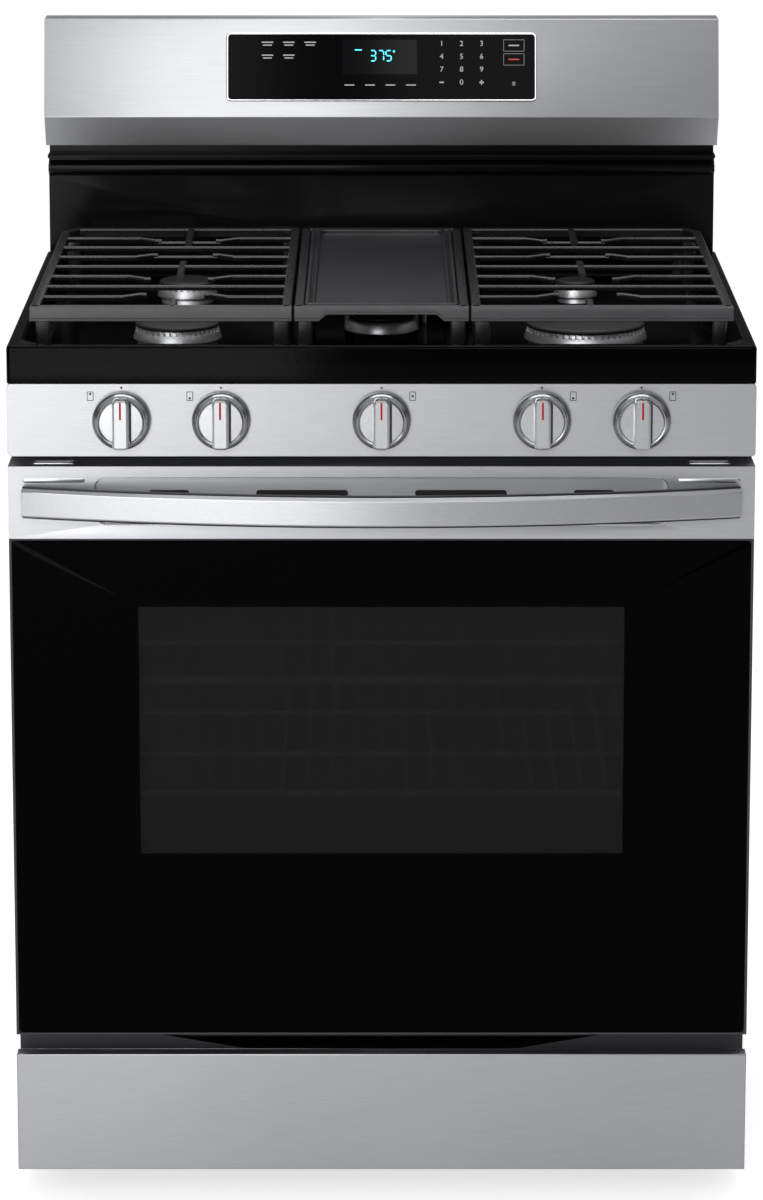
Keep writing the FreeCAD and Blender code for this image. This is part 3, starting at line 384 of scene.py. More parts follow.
# the printed legends and marks glow faintly: painted light
inkWhite = glowing("white_legend_print_glowing", "#b9babd", 0.15)
inkGrey = glowing("grey_legend_print_glowing", "#77797d", 0.1)
panelInk = paintedSheet("dark_panel_print", "#2a2a2c", 0.5)
inkRed = glowing("red_legend_print_glowing", "#c0392f", 0.4)
displayCyan = glowing("cyan_display_segment", "#4fd8ea", 2.2)
pointerRed = paintedSheet("red_pointer_paint", "#b30f14", 0.6, 0.15)
print("materials made")


# CAD nodes that keep their own shape

keptNodes = {
    "rear_panel": galvanised, "base_frame": galvanised, "oven_liner": cavityEnamel, "oven_floor": cavityEnamel,
    "oven_insulation": woolBlanket, "door_gasket": gasketCloth, "bake_burner": plainSteel,
    "broil_burner": plainSteel, "oven_lamp": lampGlass, "leveling_feet": rubber, "spark_electrodes": ceramic,
    "gas_regulator": burnerAlloy, "gas_manifold": plainSteel, "gas_valves": brass, "burner_tubes": burnerAlloy,
    "control_board": circuitGreen, "rack_upper": chromeWire, "rack_lower": chromeWire,
    "door_window_frame": galvanised, "door_inner_glass": innerGlass, "door_hinges": plainSteel,
    "hinge_brackets": plainSteel, "drawer_box": drawerPaint, "handle_mounts": darkSteel,
    "burner_bases": burnerAlloy,
}
for number in range(1, 6):
    keptNodes["valve_stem_%d" % number] = brass
for name, material in keptNodes.items():
    slots = nodes[name].material_slots
    if not slots:
        nodes[name].data.materials.append(material)
    for slot in slots:
        slot.material = material

softCopy("front_frame", darkSteel, 0.4 * mm)
softCopy("door_frame", darkSteel, 0.5 * mm)
softCopy("door_inner_panel", cavityEnamel, 0.4 * mm)
softCopy("drawer_front", drawerSteel, 1.0 * mm)
softCopy("drawer_backing", drawerPaint, 0.5 * mm)
softCopy("knob_panel", stainless, 1.0 * mm)
softCopy("backguard_base", blackEnamel, 0.8 * mm)
softCopy("door_top_trim", stainless, 0.9 * mm)
softCopy("griddle", griddleCoat, 1.0 * mm)
for side in ("left", "right"):
    softCopy("side_panel_" + side, sidePaint, 0.6 * mm)
print("plain nodes finished")


# backguard cover: one bent sheet from side to side

coverSpec = {"width": 757 * mm, "bendRadius": 2.0 * mm}


def cornerArcs(corners, radius):
    # a polygon whose corners are replaced by arcs that touch both edges
    corners = np.asarray(corners, float)
    rounded = []
    for before, here, after in zip(np.roll(corners, 1, 0), corners, np.roll(corners, -1, 0)):
        inward = (before - here) / np.linalg.norm(before - here)
        onward = (after - here) / np.linalg.norm(after - here)
        half = math.acos(np.clip(np.dot(inward, onward), -1, 1)) / 2
        shorter = min(np.linalg.norm(before - here), np.linalg.norm(after - here))
        reach = min(radius / math.tan(half), 0.45 * shorter)
        share = np.linspace(0, 1, 5)[:, None]
        start, end = here + inward * reach, here + onward * reach
        rounded.append((1 - share) ** 2 * start + 2 * share * (1 - share) * here + share ** 2 * end)
    return np.vstack(rounded)


def acrossRange(outline, halfWide, edge):
    # outline of depth and height carried along X, drawn in a little at both ends
    middle = outline.mean(0)
    rows = []
    for x, shrink in ((-halfWide, edge), (-halfWide + edge, 0), (halfWide - edge, 0), (halfWide, edge)):
        away = outline - middle
        flat = middle + away * (1 - shrink / np.maximum(np.linalg.norm(away, axis=1, keepdims=True), 1e-6))
        rows.append(np.column_stack([np.full(len(flat), x), frontY + flat[:, 0], flat[:, 1]]))
    return loft(rows)


coverOutline = cornerArcs([(602 * mm, 1034 * mm), (580 * mm, 1069 * mm), (605 * mm, 1177 * mm),
                           (642 * mm, 1177 * mm), (647.9 * mm, 1170 * mm), (647.9 * mm, 1034 * mm),
                           (625.6 * mm, 1034.2 * mm)],
                          coverSpec["bendRadius"])
piece("backguard_steel", acrossRange(coverOutline, coverSpec["width"] / 2, 0.0004), "range_body", guardSteel,
      ("backguard_cover",), 0.8 * mm)

# black plate under the cover's lower facet, which closes the gap behind it
piece("guard_inner_sheet", slab((0, 1037 * mm), (376 * mm, 21 * mm), 1 * mm,
                                [(frontY + 625 * mm, 0), (frontY + 623 * mm, 0)]), "range_body", blackEnamel)


# control glass on the leaning face, with its display and keypad

lean = Vector((0, 605 - 580, 1177 - 1069)).normalized()  # up along the face
outward = Vector((0, -lean.z, lean.y))


def onFace(shape):
    # a flat shape drawn in X and Z, with Y as its height under the face, moved onto the leaning face
    points, faces = shape
    base = np.array([0, frontY + 580 * mm, 1069 * mm])
    moved = (points[:, :1] * np.array([1, 0, 0]) + points[:, 2:] * np.array(lean)
             - points[:, 1:2] * np.array(outward) + base)
    return moved, faces


glassSpec = {"halfWide": 172.5 * mm, "halfTall": 37 * mm, "middle": 56.5 * mm, "radius": 4 * mm, "proud": 2.2 * mm}


def facePlate(x, s, halfWide, halfTall, radius, bottom, top, edge=0.0):
    # a rounded plate on the face between two heights above it, with its upper edge drawn in
    levels = [(-bottom, 0), (-(top - edge), 0), (-top, edge)]
    return onFace(slab((x, s), (halfWide, halfTall), radius, levels))


middleS = glassSpec["middle"]
proud = glassSpec["proud"]
piece("control_bezel", facePlate(0, middleS, glassSpec["halfWide"] + 1.8 * mm, glassSpec["halfTall"] + 1.8 * mm,
                                 5.5 * mm, 0.05 * mm, 1.9 * mm, 1.0 * mm),
      "range_body", polishedEdge)
piece("control_pane", facePlate(0, middleS, glassSpec["halfWide"], glassSpec["halfTall"], glassSpec["radius"],
                                0.05 * mm, proud, 0.5 * mm),
      "range_body", controlGlass, ("control_glass",))
smokedGlass = darkGlass("smoked_display_window", "#0c0d0f", 0.06, 0.1)
piece("display_window", facePlate(-2 * mm, middleS + 11 * mm, 42 * mm, 19.5 * mm, 2 * mm, proud - 0.3 * mm,
                                  proud + 0.12 * mm, 0.05 * mm),
      "range_body", smokedGlass)


def barShape(x, s, halfWide, halfTall, radius=0.3 * mm):
    # thin printed mark on the pane
    return facePlate(x, s, halfWide, halfTall, radius, proud - 0.1 * mm, proud + 0.25 * mm)


def segmentDigit(x, s, tall, lit):
    # seven bars of a display digit; lit names the ones that glow
    wide, bar = tall * 0.5, tall * 0.05
    places = {"top": (0, tall / 2, 1), "middle": (0, 0, 1), "bottom": (0, -tall / 2, 1),
              "upLeft": (-wide / 2, tall / 4, 0), "upRight": (wide / 2, tall / 4, 0),
              "lowLeft": (-wide / 2, -tall / 4, 0), "lowRight": (wide / 2, -tall / 4, 0)}
    shapes = []
    for name in lit:
        dx, ds, flat = places[name]
        halves = (wide / 2 - bar * 1.3, bar) if flat else (bar, tall / 4 - bar * 1.3)
        shapes.append(barShape(x + dx, s + ds, halves[0], halves[1], bar * 0.8))
    return shapes


displaySpec = {"height": middleS + 12.5 * mm, "tall": 11.5 * mm}
digitBars = {
    "three": ("top", "upRight", "middle", "lowRight", "bottom"),
    "seven": ("top", "upRight", "lowRight"),
    "five": ("top", "upLeft", "middle", "lowRight", "bottom"),
}
glow = []
for x, digit in ((-9.5, "three"), (-0.5, "seven"), (8, "five")):
    glow += segmentDigit(x * mm, displaySpec["height"], displaySpec["tall"], digitBars[digit])
degree = [(np.cos(a) * 0.9 * mm + 14 * mm, np.sin(a) * 0.9 * mm) for a in np.linspace(0, 2 * math.pi, 6, False)]
for dx, ds in degree:
    glow.append(barShape(dx, displaySpec["height"] + 4.8 * mm + ds, 0.4 * mm, 0.4 * mm, 0.3 * mm))
glow.append(barShape(-26 * mm, displaySpec["height"] + 6.5 * mm, 4 * mm, 0.5 * mm))
piece("display_digits", stack(glow), "range_body", displayCyan)

# plain bars stand where a word would be
legends = []
for x, s in ((-128, 26), (-104, 26), (-80, 26), (-128, 11.5), (-104, 11.5)):
    for line, half in ((1.6, 6.5), (-1.6, 5.0)):
        legends.append(barShape(x * mm, middleS + (s + line) * mm, half * mm, 0.6 * mm))
for x in (-36, -13, 10, 33):
    legends.append(barShape(x * mm, middleS - 20.5 * mm, 5.5 * mm, 0.6 * mm))
piece("legend_bars", stack(legends), "range_body", inkWhite)


def frameShape(x, s, halfWide, halfTall, line):
    # thin rectangular outline of four bars
    return [barShape(x, s + halfTall, halfWide, line), barShape(x, s - halfTall, halfWide, line),
            barShape(x - halfWide, s, line, halfTall), barShape(x + halfWide, s, line, halfTall)]


piece("start_stop_frames", stack(frameShape(148.5 * mm, middleS + 24 * mm, 11.5 * mm, 6.4 * mm, 0.35 * mm)
                                 + frameShape(148.5 * mm, middleS + 8.3 * mm, 11.5 * mm, 6.4 * mm, 0.35 * mm)),
      "range_body", inkGrey)
piece("start_mark", stack([barShape(148.5 * mm, middleS + 24 * mm, 6 * mm, 0.7 * mm)]), "range_body", inkWhite)
piece("stop_mark", stack([barShape(148.5 * mm, middleS + 8.3 * mm, 6 * mm, 0.7 * mm)]), "range_body", inkRed)
piece("lock_mark", stack([barShape(148.5 * mm, middleS - 19 * mm, 1.8 * mm, 2.2 * mm)]), "range_body", inkGrey)


def numeral(text, x, s, size):
    # a flat numeral as a mesh, on the pane
    curve = bpy.data.curves.new("numeral_curve", "FONT")
    curve.body = text
    curve.size = size
    curve.align_x = "CENTER"
    curve.align_y = "CENTER"
    curve.extrude = 0.1 * mm
    thing = bpy.data.objects.new("numeral", curve)
    bpy.context.scene.collection.objects.link(thing)
    mesh = bpy.data.meshes.new_from_object(thing)
    bpy.data.objects.remove(thing)
    points = np.array([v.co for v in mesh.vertices])
    faces = [list(p.vertices) for p in mesh.polygons]
    flat = np.column_stack([points[:, 0] + x, -(proud + 0.05 * mm) - points[:, 2], points[:, 1] + s])
    return onFace((flat, faces))


keys = []
for column, x in enumerate((67.5, 89.8, 112.3)):
    for row, s in enumerate((26, 11.5, -3)):
        keys.append(numeral(str(row * 3 + column + 1), x * mm, middleS + s * mm, 8.5 * mm))
keys.append(numeral("0", 89.8 * mm, middleS - 17.5 * mm, 8.5 * mm))
keys.append(barShape(67.5 * mm, middleS - 17.5 * mm, 2.6 * mm, 0.7 * mm))
keys.append(barShape(112.3 * mm, middleS - 17.5 * mm, 2.6 * mm, 0.7 * mm))
keys.append(barShape(112.3 * mm, middleS - 17.5 * mm, 0.7 * mm, 2.6 * mm))
piece("keypad_numerals", stack(keys), "range_body", inkWhite)
print("backguard made")


# cooktop pan: skirt, rim and sunken well as one pressed surface

def panShape():
    # rounded rectangles from the skirt's lower edge, over the rim and down into the well; each has its own middle
    levels = [  # height, half width, front depth, rear depth, corner radius
        (875.6, 378.5, 0, 602, 5), (910.5, 378.5, 0, 602, 5), (912.4, 378.0, 0.5, 601.5, 5),
        (913.6, 376.8, 1.8, 600.2, 5), (914.0, 375.2, 3.4, 598.6, 5), (914.0, 364.5, 12, 599, 34),
        (913.3, 363.2, 13.4, 598.2, 33), (911.5, 362.4, 14.2, 597.6, 33), (890.0, 360.6, 16, 596.5, 33),
        (886.5, 359.4, 17.4, 595.5, 32), (885.0, 355.0, 21, 592, 30)]
    rows = []
    for height, halfWide, low, high, radius in levels:
        flat = roundLoop(halfWide * mm, (high - low) / 2 * mm, radius * mm, 8)
        flat = flat + np.array([0, frontY + (low + high) / 2 * mm])
        rows.append(np.column_stack([flat, np.full(len(flat), height * mm)]))
    return loft(rows)


piece("cooktop_pressing", panShape(), "range_body", wellEnamel, ("cooktop_pan",), smooth=50)
print("cooktop made")


# burners

burnerSpec = {
    "front_left": (-213, 175, 46), "front_right": (213, 175, 64), "rear_left": (-213, 436, 33),
    "rear_right": (213, 436, 24),
}
wellZ = 885 * mm


def portWave(ports, depth, levels):
    # square notches round the head's upper edge, on the named levels only
    def wave(angle, level):
        notch = (np.cos(angle * ports) > 0.35).astype(float)
        return -depth * notch if level in levels else 0 * angle
    return wave


headShapes = []
for name, (x, y, radius) in burnerSpec.items():
    centre = (x * mm, frontY + y * mm, wellZ)
    r = radius * mm
    ports = int(radius * 0.9)
    profile = [(9 * mm, 6.05 * mm), (r - 1 * mm, 6.05 * mm), (r, 6.8 * mm), (r, 7.6 * mm),
               (r - 1.4 * mm, 12 * mm), (r - 2.2 * mm, 14.6 * mm), (r - 2.4 * mm, 15 * mm), (r - 2.8 * mm, 18.5 * mm),
               (r - 3.8 * mm, 19 * mm), (9 * mm, 19 * mm)]
    headShapes.append(turnedRows(profile, centre, count=ports * 8, wave=portWave(ports, 4 * mm, (6, 7))))
    capProfile = [(0.5 * mm, 15.4 * mm), (8.5 * mm, 15.4 * mm), (8.5 * mm, 19.2 * mm), (r - 3.5 * mm, 19.2 * mm),
                  (r - 2.2 * mm, 20 * mm), (r - 2 * mm, 21 * mm), (r - 2.4 * mm, 22.4 * mm), (r - 4 * mm, 23.5 * mm),
                  (r - 8 * mm, 24.4 * mm), (r * 0.5, 24.5 * mm), (0.5 * mm, 24.5 * mm)]
    piece("burner_cap_" + name, turnedRows(capProfile, centre, count=72), "cap_" + name, capEnamel,
          ("cap_" + name,), smooth=50)

longLevels = [(6.05, 0.8), (6.8, 0), (8, 0), (15.4, 2.6), (16.6, 3.2), (17.6, 4.4), (18, 6), (17, 8)]
headShapes.append(slab((0, frontY + 300 * mm), (39 * mm, 112 * mm), 39 * mm,
                       [(wellZ + z * mm, inset * mm) for z, inset in longLevels], "z", 16))
piece("burner_heads_cast", stack(headShapes), "range_body", burnerAlloy, ("burner_heads",))
capLevels = [(19.3, 1.5), (20, 0.4), (21, 0), (22.5, 0.4), (23.7, 1.8), (24.5, 5)]
piece("burner_cap_middle", slab((0, frontY + 300 * mm), (31 * mm, 108 * mm), 31 * mm,
                                [(wellZ + z * mm, inset * mm) for z, inset in capLevels], "z", 12),
      "cap_middle", capEnamel, ("cap_middle",), smooth=50)
print("burners made")


# cast grates: bars of one section carried along level paths, with a front rail for each in a lighter, finer-grained
# iron; its lighter colour is painted light

grateSpec = {"top": 946, "front": 45, "back": 567, "split": 91, "half": 358, "burner": 213}


def grateBar(path, wide, tall, top, foot=None):
    # a bar with a rounded upper edge on each side, drawn in below so that its sides face down
    half, low = wide / 2, (foot or wide * 0.55) / 2
    section = np.array([(-low, -tall), (low, -tall), (half - 0.2, -2.6), (half, -1.9), (half - 0.3, -1.0),
                        (half - 1.0, -0.3), (half - 2.0, 0), (2.0 - half, 0), (1.0 - half, -0.3),
                        (0.3 - half, -1.0), (-half, -1.9), (0.2 - half, -2.6)]) * mm
    points = [(x * mm, frontY + y * mm, top * mm) for x, y in path]
    return carried(points, section)


def frontRail(x0, x1, y, top, arch=None):
    # upright front rail carried along X: a rounded top edge, a flat face and a lip along its foot
    ends = [(x0, 15), (x0 + 0.8, 15), (x1 - 0.8, 15), (x1, 15)]
    if arch:
        ends = [(x0, 15), (x0 + 0.8, 15), (-arch - 8, 15), (-arch, 8.2), (arch, 8.2), (arch + 8, 15),
                (x1 - 0.8, 15), (x1, 15)]
    rows = []
    for x, tall in ends:
        tuck = 0.7 if x in (x0, x1) else 0
        section = [(5.5 - tuck, -tall + tuck), (5.5 - tuck, -tuck), (-3.6, -tuck), (-4.8 + tuck, -0.5 - tuck),
                   (-5.4 + tuck, -1.8), (-5.4 + tuck, -tall + 3.2), (-6.4 + tuck, -tall + 2.6),
                   (-6.4 + tuck, -tall + 0.6 + tuck), (-5.8 + tuck, -tall + tuck)]
        rows.append([(x * mm, frontY + (y + a) * mm, (top + b) * mm) for a, b in section])
    return loft(rows)


def grateFoot(x, y, wide, deep, low, high):
    # upright foot, drawn in a little where it meets the well
    levels = [(low * mm, 1.5 * mm), ((low + 2) * mm, 0.6 * mm), (high * mm, 0)]
    return slab((x * mm, frontY + y * mm), (wide / 2 * mm, deep / 2 * mm), 2.5 * mm, levels, "z", 3)


def sideGrateShape(sign):
    # a frame with seven cross bars: those near a burner stop short of its middle and kink, and three short bars
    # run from front to back over the burners
    spec = grateSpec
    x0, x1, y0, y1, top = spec["split"], spec["half"], spec["front"], spec["back"], spec["top"]
    shapes = []
    border = [(x0 + 5.5, y0 + 6), (x0 + 5.5, y1 - 5.5), (x1 - 17, y1 - 5.5), (x1 - 5.5, y1 - 27),
              (x1 - 5.5, y0 + 6)]
    shapes.append(grateBar(border, 10, 9, top, 8))
    step = (y1 - y0 - 12) / 8
    mid = spec["burner"]
    for number, shift in enumerate((15, 0, -15, 0, 15, 0, -15), 1):
        y = y0 + 6 + step * number
        if not shift:
            shapes.append(grateBar([(x0 + 8, y), (x1 - 8, y)], 7, 5.5, top))
            continue
        shapes.append(grateBar([(x0 + 8, y), (mid - 54, y), (mid - 36, y + shift), (mid - 30, y + shift)],
                               7, 5.5, top))
        shapes.append(grateBar([(mid + 30, y + shift), (mid + 36, y + shift), (mid + 54, y), (x1 - 8, y)],
                               7, 5.5, top))
        if number > 4:
            shapes.append(grateBar([(mid - 34, y + shift), (mid + 34, y + shift)], 6.4, 3, top - 2.5))
    for low, high in ((y1 - 95, y1 - 8), (255, 336), (y0 + 8, y0 + 48)):
        shapes.append(grateBar([(mid, low), (mid, high)], 8, 8, top, 5.5))
    for x, wide in ((x0 + 11.5, 17), (x1 - 14, 15)):
        for y, deep in ((y0 + 9.5, 12), (y1 - 23, 13)):
            shapes.append(grateFoot(x, y, wide, deep, 885.4, 938))
    points, faces = stack(shapes)
    return points * np.array([sign, 1, 1]), faces


def middleGrateShape():
    # side rails on feet, a rear rail and two low cross bars; the front rail is a piece of its own
    spec = grateSpec
    half, y0, y1, top = spec["split"] - 2, spec["front"], spec["back"], spec["top"]
    shapes = []
    for sign in (-1, 1):
        shapes.append(grateBar([(sign * (half - 5.2), y0 + 6), (sign * (half - 5.2), y1 - 1)], 10, 15, top, 9))
        for y, deep in ((y0 + 9.5, 12), (y1 - 23, 13)):
            shapes.append(grateFoot(sign * (half - 11), y, 16, deep, 885.4, 937))
    shapes.append(grateBar([(-half + 3, y1 - 5.5), (half - 3, y1 - 5.5)], 10, 8, top, 8))
    for y in (y0 + 134, y0 + 396):
        shapes.append(grateBar([(-half + 6, y), (half - 6, y)], 8, 6.3, top - 8.6))
    return stack(shapes)


railY = grateSpec["front"] + 6.5
for name, x0, x1, arch in (("left", -358, -91, None), ("middle", -89, 89, 56), ("right", 91, 358, None)):
    piece("grate_rail_" + name, frontRail(x0, x1, railY, grateSpec["top"], arch), "grate_" + name, litRailIron)
for name, sign in (("left", -1), ("right", 1)):
    piece("cast_grate_" + name, sideGrateShape(sign), "grate_" + name, castIron,
          ("grate_" + name,))
piece("cast_grate_middle", middleGrateShape(), "grate_middle", castIron, ("grate_middle",))
print("grates made")


# knobs

knobSpec = {"radius": 29.5, "gap": 5.5, "z": 838, "xs": (-262.5, -162, 0, 162, 262.5)}


def knobPieces(number, x):
    # ring, disc and grip, with a dark strip showing beside the grip on its right, which is painted shadow, and a
    # pointer on it; profiles are radius and depth in mm
    body = "knob_%d" % number
    centre = (x * mm, frontY, knobSpec["z"] * mm)
    r, gap = knobSpec["radius"], knobSpec["gap"]
    skirt = [(4.1, -gap), (r, -gap), (r, -gap - 1.5), (r - 0.4, -gap - 3), (r - 4.6, -gap - 8.2),
             (r - 5.4, -gap - 8.6), (r - 6.4, -gap - 8.2), (r - 7.4, -gap - 7), (4.1, -gap - 7)]
    piece("knob_ring_%d" % number, turnedRows([(a * mm, b * mm) for a, b in skirt], centre, "y", 96), body,
          shadedKnobRing, ("knob_%d" % number,), smooth=25)
    # painted shadow: a dark plate behind the grip that shows only on its right side
    shadow = [(frontY - (gap + 9) * mm, 0), (frontY - (gap + 10.7) * mm, 0)]
    piece("knob_slot_%d" % number,
          slab(((x + 1) * mm, knobSpec["z"] * mm), (9.6 * mm, (r - 8) * mm), 4 * mm, shadow),
          body, darkSteel)
    disc = [(4.1, -gap - 6.5), (r - 7.2, -gap - 6.5), (r - 7.2, -gap - 9.4), (r - 8.0, -gap - 10.2),
            (4.1, -gap - 10.4)]
    piece("knob_disc_%d" % number, turnedRows([(a * mm, b * mm) for a, b in disc], centre, "y", 96), body,
          stainlessKnob, smooth=30)
    grip = [(frontY - (gap + 5) * mm, 0), (frontY - (gap + 21) * mm, 0.6 * mm),
            (frontY - (gap + 23) * mm, 1.3 * mm), (frontY - (gap + 24) * mm, 3 * mm)]
    piece("knob_grip_%d" % number,
          slab((x * mm, knobSpec["z"] * mm), (8.9 * mm, (r - 3.2) * mm), 5 * mm, grip),
          body, stainlessKnob, smooth=30)
    line = [(frontY - (gap + 23.6) * mm, 0), (frontY - (gap + 24.15) * mm, 0),
            (frontY - (gap + 24.25) * mm, 0.2 * mm)]
    piece("knob_pointer_%d" % number,
          slab((x * mm, (knobSpec["z"] + r - 15) * mm), (1.0 * mm, 9 * mm), 0.9 * mm, line),
          body, pointerRed)


for number, x in enumerate(knobSpec["xs"], 1):
    knobPieces(number, x)


def panelMark(x, z, halfWide, halfTall, radius=0.3):
    # thin print on the knob panel
    levels = [(frontY + 0.3 * mm, 0), (frontY - 0.15 * mm, 0)]
    return slab((x * mm, z * mm), (halfWide * mm, halfTall * mm), radius * mm, levels)


marks = []
for x in knobSpec["xs"]:
    rows = []
    for y in (0.3, -0.15):
        deep = frontY + y * mm
        rows.append([((x - 1.6) * mm, deep, 872 * mm), ((x + 1.6) * mm, deep, 872 * mm), (x * mm, deep, 869.4 * mm)])
    marks.append(loft(rows))
burnerDots = {0: (-1, 2.2), 1: (-1, -2.2), 2: (1, 0), 3: (1, -2.2), 4: (1, 2.2)}
for number, x in enumerate(knobSpec["xs"]):
    side, dot = burnerDots[number]
    middle = x + side * 31.5
    for dx, dz, wide, tall in ((0, 4.4, 3.0, 0.35), (0, -4.4, 3.0, 0.35), (3.0, 0, 0.35, 4.4),
                               (-3.0, 0, 0.35, 4.4)):
        marks.append(panelMark(middle + dx, 862.5 + dz, wide, tall))
    marks.append(panelMark(middle, 862.5 + dot, 1.2, 1.2, 1.1))
piece("panel_marks", stack(marks), "range_body", panelInk)
print("knobs made")


# oven door: printed glass, tinted window, bowed handle and vent grilles

doorSpec = {"halfWide": 375.2, "low": 190.5, "high": 712.5, "windowHalf": 247.7, "windowLow": 383,
            "windowHigh": 644, "corner": 1.5}


def doorGlassShape():
    # sheet with a rounded opening: four loops joined into one closed ring
    s = doorSpec
    middleZ, windowZ = (s["low"] + s["high"]) / 2, (s["windowLow"] + s["windowHigh"]) / 2
    rows = []
    for y, inset, inner in ((4.3, 0, 0), (0.5, 0, 0), (0, 0.6, 0), (0, 0, 1), (0.4, 0, 2), (4.3, 0, 2)):
        if inner:
            flare = 0.4 if inner == 1 else 0
            flat = roundLoop((s["windowHalf"] + flare) * mm,
                             ((s["windowHigh"] - s["windowLow"]) / 2 + flare) * mm, s["corner"] * mm)
            flat = flat + np.array([0, windowZ * mm])
        else:
            flat = roundLoop((s["halfWide"] - inset) * mm, ((s["high"] - s["low"]) / 2 - inset) * mm, 5 * mm)
            flat = flat + np.array([0, middleZ * mm])
        rows.append(np.column_stack([flat[:, 0], np.full(len(flat), frontY + y * mm), flat[:, 1]]))
    return loft(rows, closed=True)


piece("door_printed_glass", doorGlassShape(), "door", doorGlass, ("door_glass",))
windowMiddle = (doorSpec["windowLow"] + doorSpec["windowHigh"]) / 2
piece("door_tinted_window",
      slab((0, windowMiddle * mm), ((doorSpec["windowHalf"] - 0.1) * mm, 130.4 * mm), doorSpec["corner"] * mm,
           [(frontY + 4.2 * mm, 0), (frontY + 0.25 * mm, 0), (frontY + 0.1 * mm, 0.2 * mm)]),
      "door", windowGlass)

handleSpec = {"half": 364.5, "out": 62, "end": 15, "low": 740.5, "tall": 29.5, "thick": 9, "steps": 48}


def handleArc(short=0.0):
    # points along an arc: its radius follows from half the length and the bow, and short is cut from each end
    s = handleSpec
    bow = s["out"] - s["end"]
    radius = (s["half"] ** 2 + bow ** 2) / (2 * bow)
    reach = math.asin((s["half"] - short) / radius)
    turn = np.linspace(-reach, reach, s["steps"])
    return np.column_stack([(radius - s["thick"] / 2) * np.sin(turn) * mm,
                            frontY + (-s["out"] + radius - (radius - s["thick"] / 2) * np.cos(turn)) * mm,
                            np.full(s["steps"], s["low"] * mm)])


def handleShape():
    # flat section with softened corners carried along the arc
    s = handleSpec
    half, tall = s["thick"] / 2, s["tall"]
    section = np.array([(-half, 1), (-half, tall - 1.5), (-half + 1, tall), (half - 3.5, tall), (half, tall - 3.2),
                        (half, 1.6), (half - 1.4, 0), (-half + 1, 0)]) * mm
    return carried(handleArc(), section)


def handleShadowShape():
    # dark strip behind the bar, a little taller, which draws the bar's outline: painted shade along its top and
    # bottom edges
    top, bottom = handleSpec["tall"] + 1.5, -1.6
    section = np.array([(-4, bottom), (-4, top), (0.5, top), (0.5, bottom)]) * mm
    return carried(handleArc(0.4), section)


# the dark strip behind the handle is painted shade round the bar's edges
piece("handle_painted_shadow", handleShadowShape(), "door", sidePaint)
piece("handle_bar", handleShape(), "door", stainless, ("door_handle",), 0.6 * mm, 30)


def ventShape():
    # close rows of fins in each slot of the top band
    shapes = []
    for low, high in ((-235, -196), (-126, -35), (35, 126), (196, 235)):
        for x in np.arange(low + 2, high, 4.0):
            shapes.append(slab((x * mm, 761.5 * mm), (0.8 * mm, 3.6 * mm), 0.4 * mm,
                               [(frontY + 5.6 * mm, 0), (frontY + 4.0 * mm, 0)], steps=1))
        shapes.append(slab(((low + high) / 2 * mm, 761.5 * mm), ((high - low) / 2 * mm, 3.6 * mm), 2 * mm,
                           [(frontY + 6.6 * mm, 0), (frontY + 5.9 * mm, 0)]))
    return stack(shapes)


piece("door_vent_fins", ventShape(), "door", rubber)
pills = [slab((sign * 332 * mm, 775.5 * mm), (31.5 * mm, 2.4 * mm), 2.4 * mm,
              [(frontY + 0.5 * mm, 0), (frontY - 0.5 * mm, 0), (frontY - 0.9 * mm, 0.7 * mm)]) for sign in (-1, 1)]
piece("trim_bosses", stack(pills), "door", stainless)


def ringStrip(centre, half, radius, wide, low, high, axis):
    # thin raised line round a rounded rectangle: outer loop low and high, then inner loop high and low
    rows = []
    for along, inset in ((low, 0), (high, 0.25 * wide), (high, 0.75 * wide), (low, wide)):
        flat = roundLoop(half[0] - inset, half[1] - inset, radius - inset) + np.array(centre)
        deep = np.full(len(flat), along)
        rows.append(np.column_stack([flat[:, 0], deep, flat[:, 1]] if axis == "y" else [flat, deep]))
    return loft(rows, closed=True)


piece("trim_recess_line", ringStrip((0, 754 * mm), (291.2 * mm, 25.2 * mm), 11.2 * mm, 1.5 * mm, frontY + 0.3 * mm,
                                    frontY - 0.5 * mm, "y"), "door", polishedEdge)
slots = []
for sign in (-1, 1):
    slots.append(ringStrip((sign * 333 * mm, frontY + 20 * mm), (22 * mm, 7 * mm), 3 * mm, 1.6 * mm, 789.7 * mm,
                           790.6 * mm, "z"))
    slots.append(ringStrip((sign * 333 * mm, frontY + 20 * mm), (18 * mm, 3.2 * mm), 2 * mm, 1.4 * mm, 789.7 * mm,
                           790.4 * mm, "z"))
piece("top_face_beads", stack(slots), "door", polishedEdge)
print("door made")


# floor, light and camera

def stageFloor():
    # pale floor, self-lit a little so that it stays even far from the lights
    floorMaterial, tree, shader, _ = startMaterial("pale_floor", "#f0f0f0", 0.0, 0.9)
    shader.inputs["Emission Color"].default_value = toLinear("#ffffff")
    eyeRay = addNode(tree, "ShaderNodeLightPath").outputs["Is Camera Ray"]
    level = addNode(tree, "ShaderNodeMapRange", {"Value": eyeRay, "To Min": 0.05, "To Max": 0.7})
    tree.links.new(level.outputs[0], shader.inputs["Emission Strength"])
    mesh = bpy.data.meshes.new("studio_floor")
    half = 40.0
    mesh.from_pydata([(-half, -half, 0), (half, -half, 0), (half, half, 0), (-half, half, 0)], [], [(0, 1, 2, 3)])
    mesh.materials.append(floorMaterial)
    floor = bpy.data.objects.new("studio_floor", mesh)
    bpy.context.scene.collection.objects.link(floor)


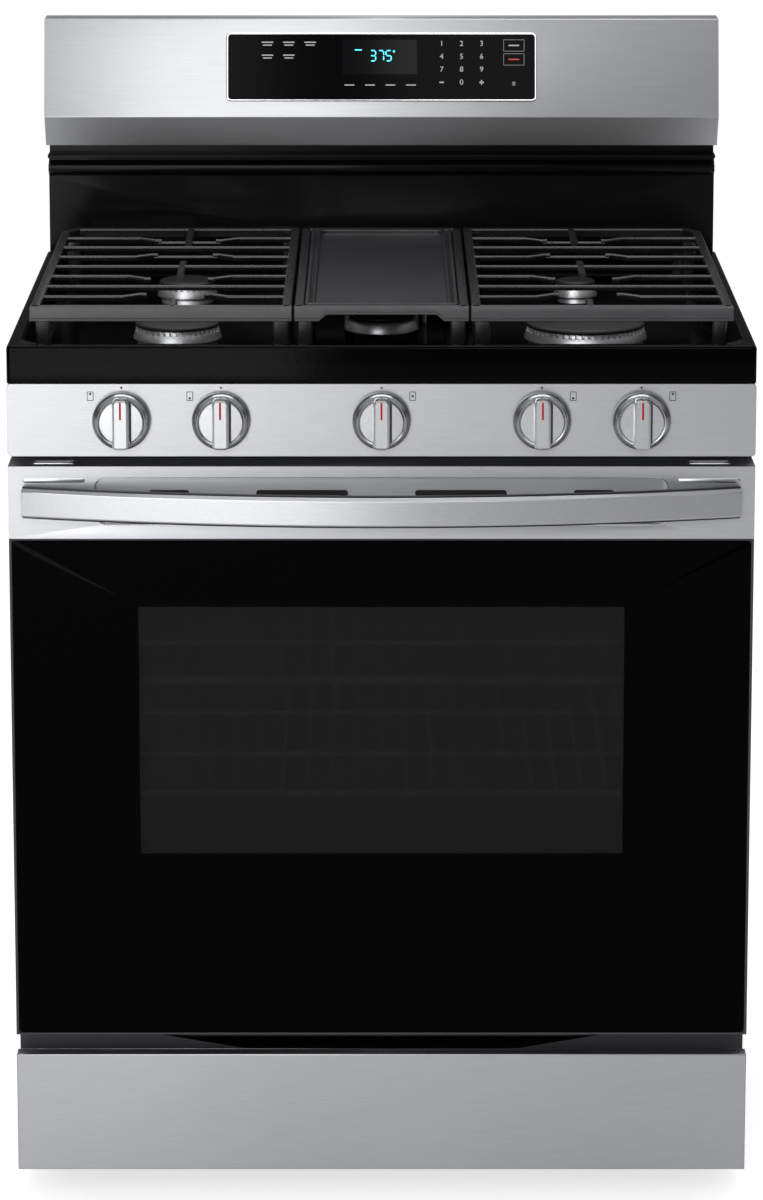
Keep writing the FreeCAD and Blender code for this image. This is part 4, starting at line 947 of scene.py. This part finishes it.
def softLight(name, place, target, wide, tall, brightness):
    # rectangular light; its power follows from how bright its face should look
    light = bpy.data.lights.new(name, "AREA")
    light.shape = "RECTANGLE"
    light.size = wide
    light.size_y = tall
    light.energy = brightness * math.pi * wide * tall
    thing = bpy.data.objects.new(name, light)
    thing.location = place
    thing.rotation_euler = (Vector(target) - Vector(place)).to_track_quat("-Z", "Y").to_euler()
    bpy.context.scene.collection.objects.link(thing)


def studioWorld():
    # white to the eye; a softer grey is what lights the range and what it mirrors
    world = bpy.data.worlds.new("studio")
    world.use_nodes = True
    tree = world.node_tree
    eyeRay = addNode(tree, "ShaderNodeLightPath").outputs["Is Camera Ray"]
    aim = addNode(tree, "ShaderNodeTexCoord").outputs["Generated"]
    rise = addNode(tree, "ShaderNodeSeparateXYZ", {"Vector": aim}).outputs["Z"]
    sky = addNode(tree, "ShaderNodeMapRange", {"Value": rise, "From Min": 0.22, "From Max": 0.5, "To Min": 0.06,
                                               "To Max": 0.42}).outputs[0]  # dim near the horizon, lighter above
    level = addNode(tree, "ShaderNodeMapRange", {"Value": eyeRay, "To Min": sky, "To Max": 1.0})
    tree.links.new(level.outputs[0], tree.nodes["Background"].inputs["Strength"])
    tree.nodes["Background"].inputs["Color"].default_value = toLinear("#ffffff")
    bpy.context.scene.world = world


stageFloor()
studioWorld()
softLight("key_left", (-2.4, -6.4, 2.6), (-2.4, 0, 2.6), 4.2, 5.2, 3.2)
softLight("key_upper", (0.9, -6.4, 4.0), (0.9, 0, 4.0), 1.8, 2.2, 2.6)
softLight("top", (0, 0.4, 3.0), (0, 0.4, 0.9), 2.0, 1.3, 2.8)

cameraSpec = {"distance": 4.64, "height": 1.762, "pitch": 0.194, "lens": 140.5, "shift": -0.16}
lens = bpy.data.cameras.new("camera")
lens.lens = cameraSpec["lens"]
lens.sensor_width = 36
lens.shift_y = cameraSpec["shift"]
lens.clip_end = 200
eye = bpy.data.objects.new("camera", lens)
eye.location = (0, frontY - cameraSpec["distance"], cameraSpec["height"])
eye.rotation_euler = (math.pi / 2 - cameraSpec["pitch"], 0, 0)
bpy.context.scene.collection.objects.link(eye)
bpy.context.scene.camera = eye
bpy.context.scene.view_settings.view_transform = "Standard"
print("stage set")
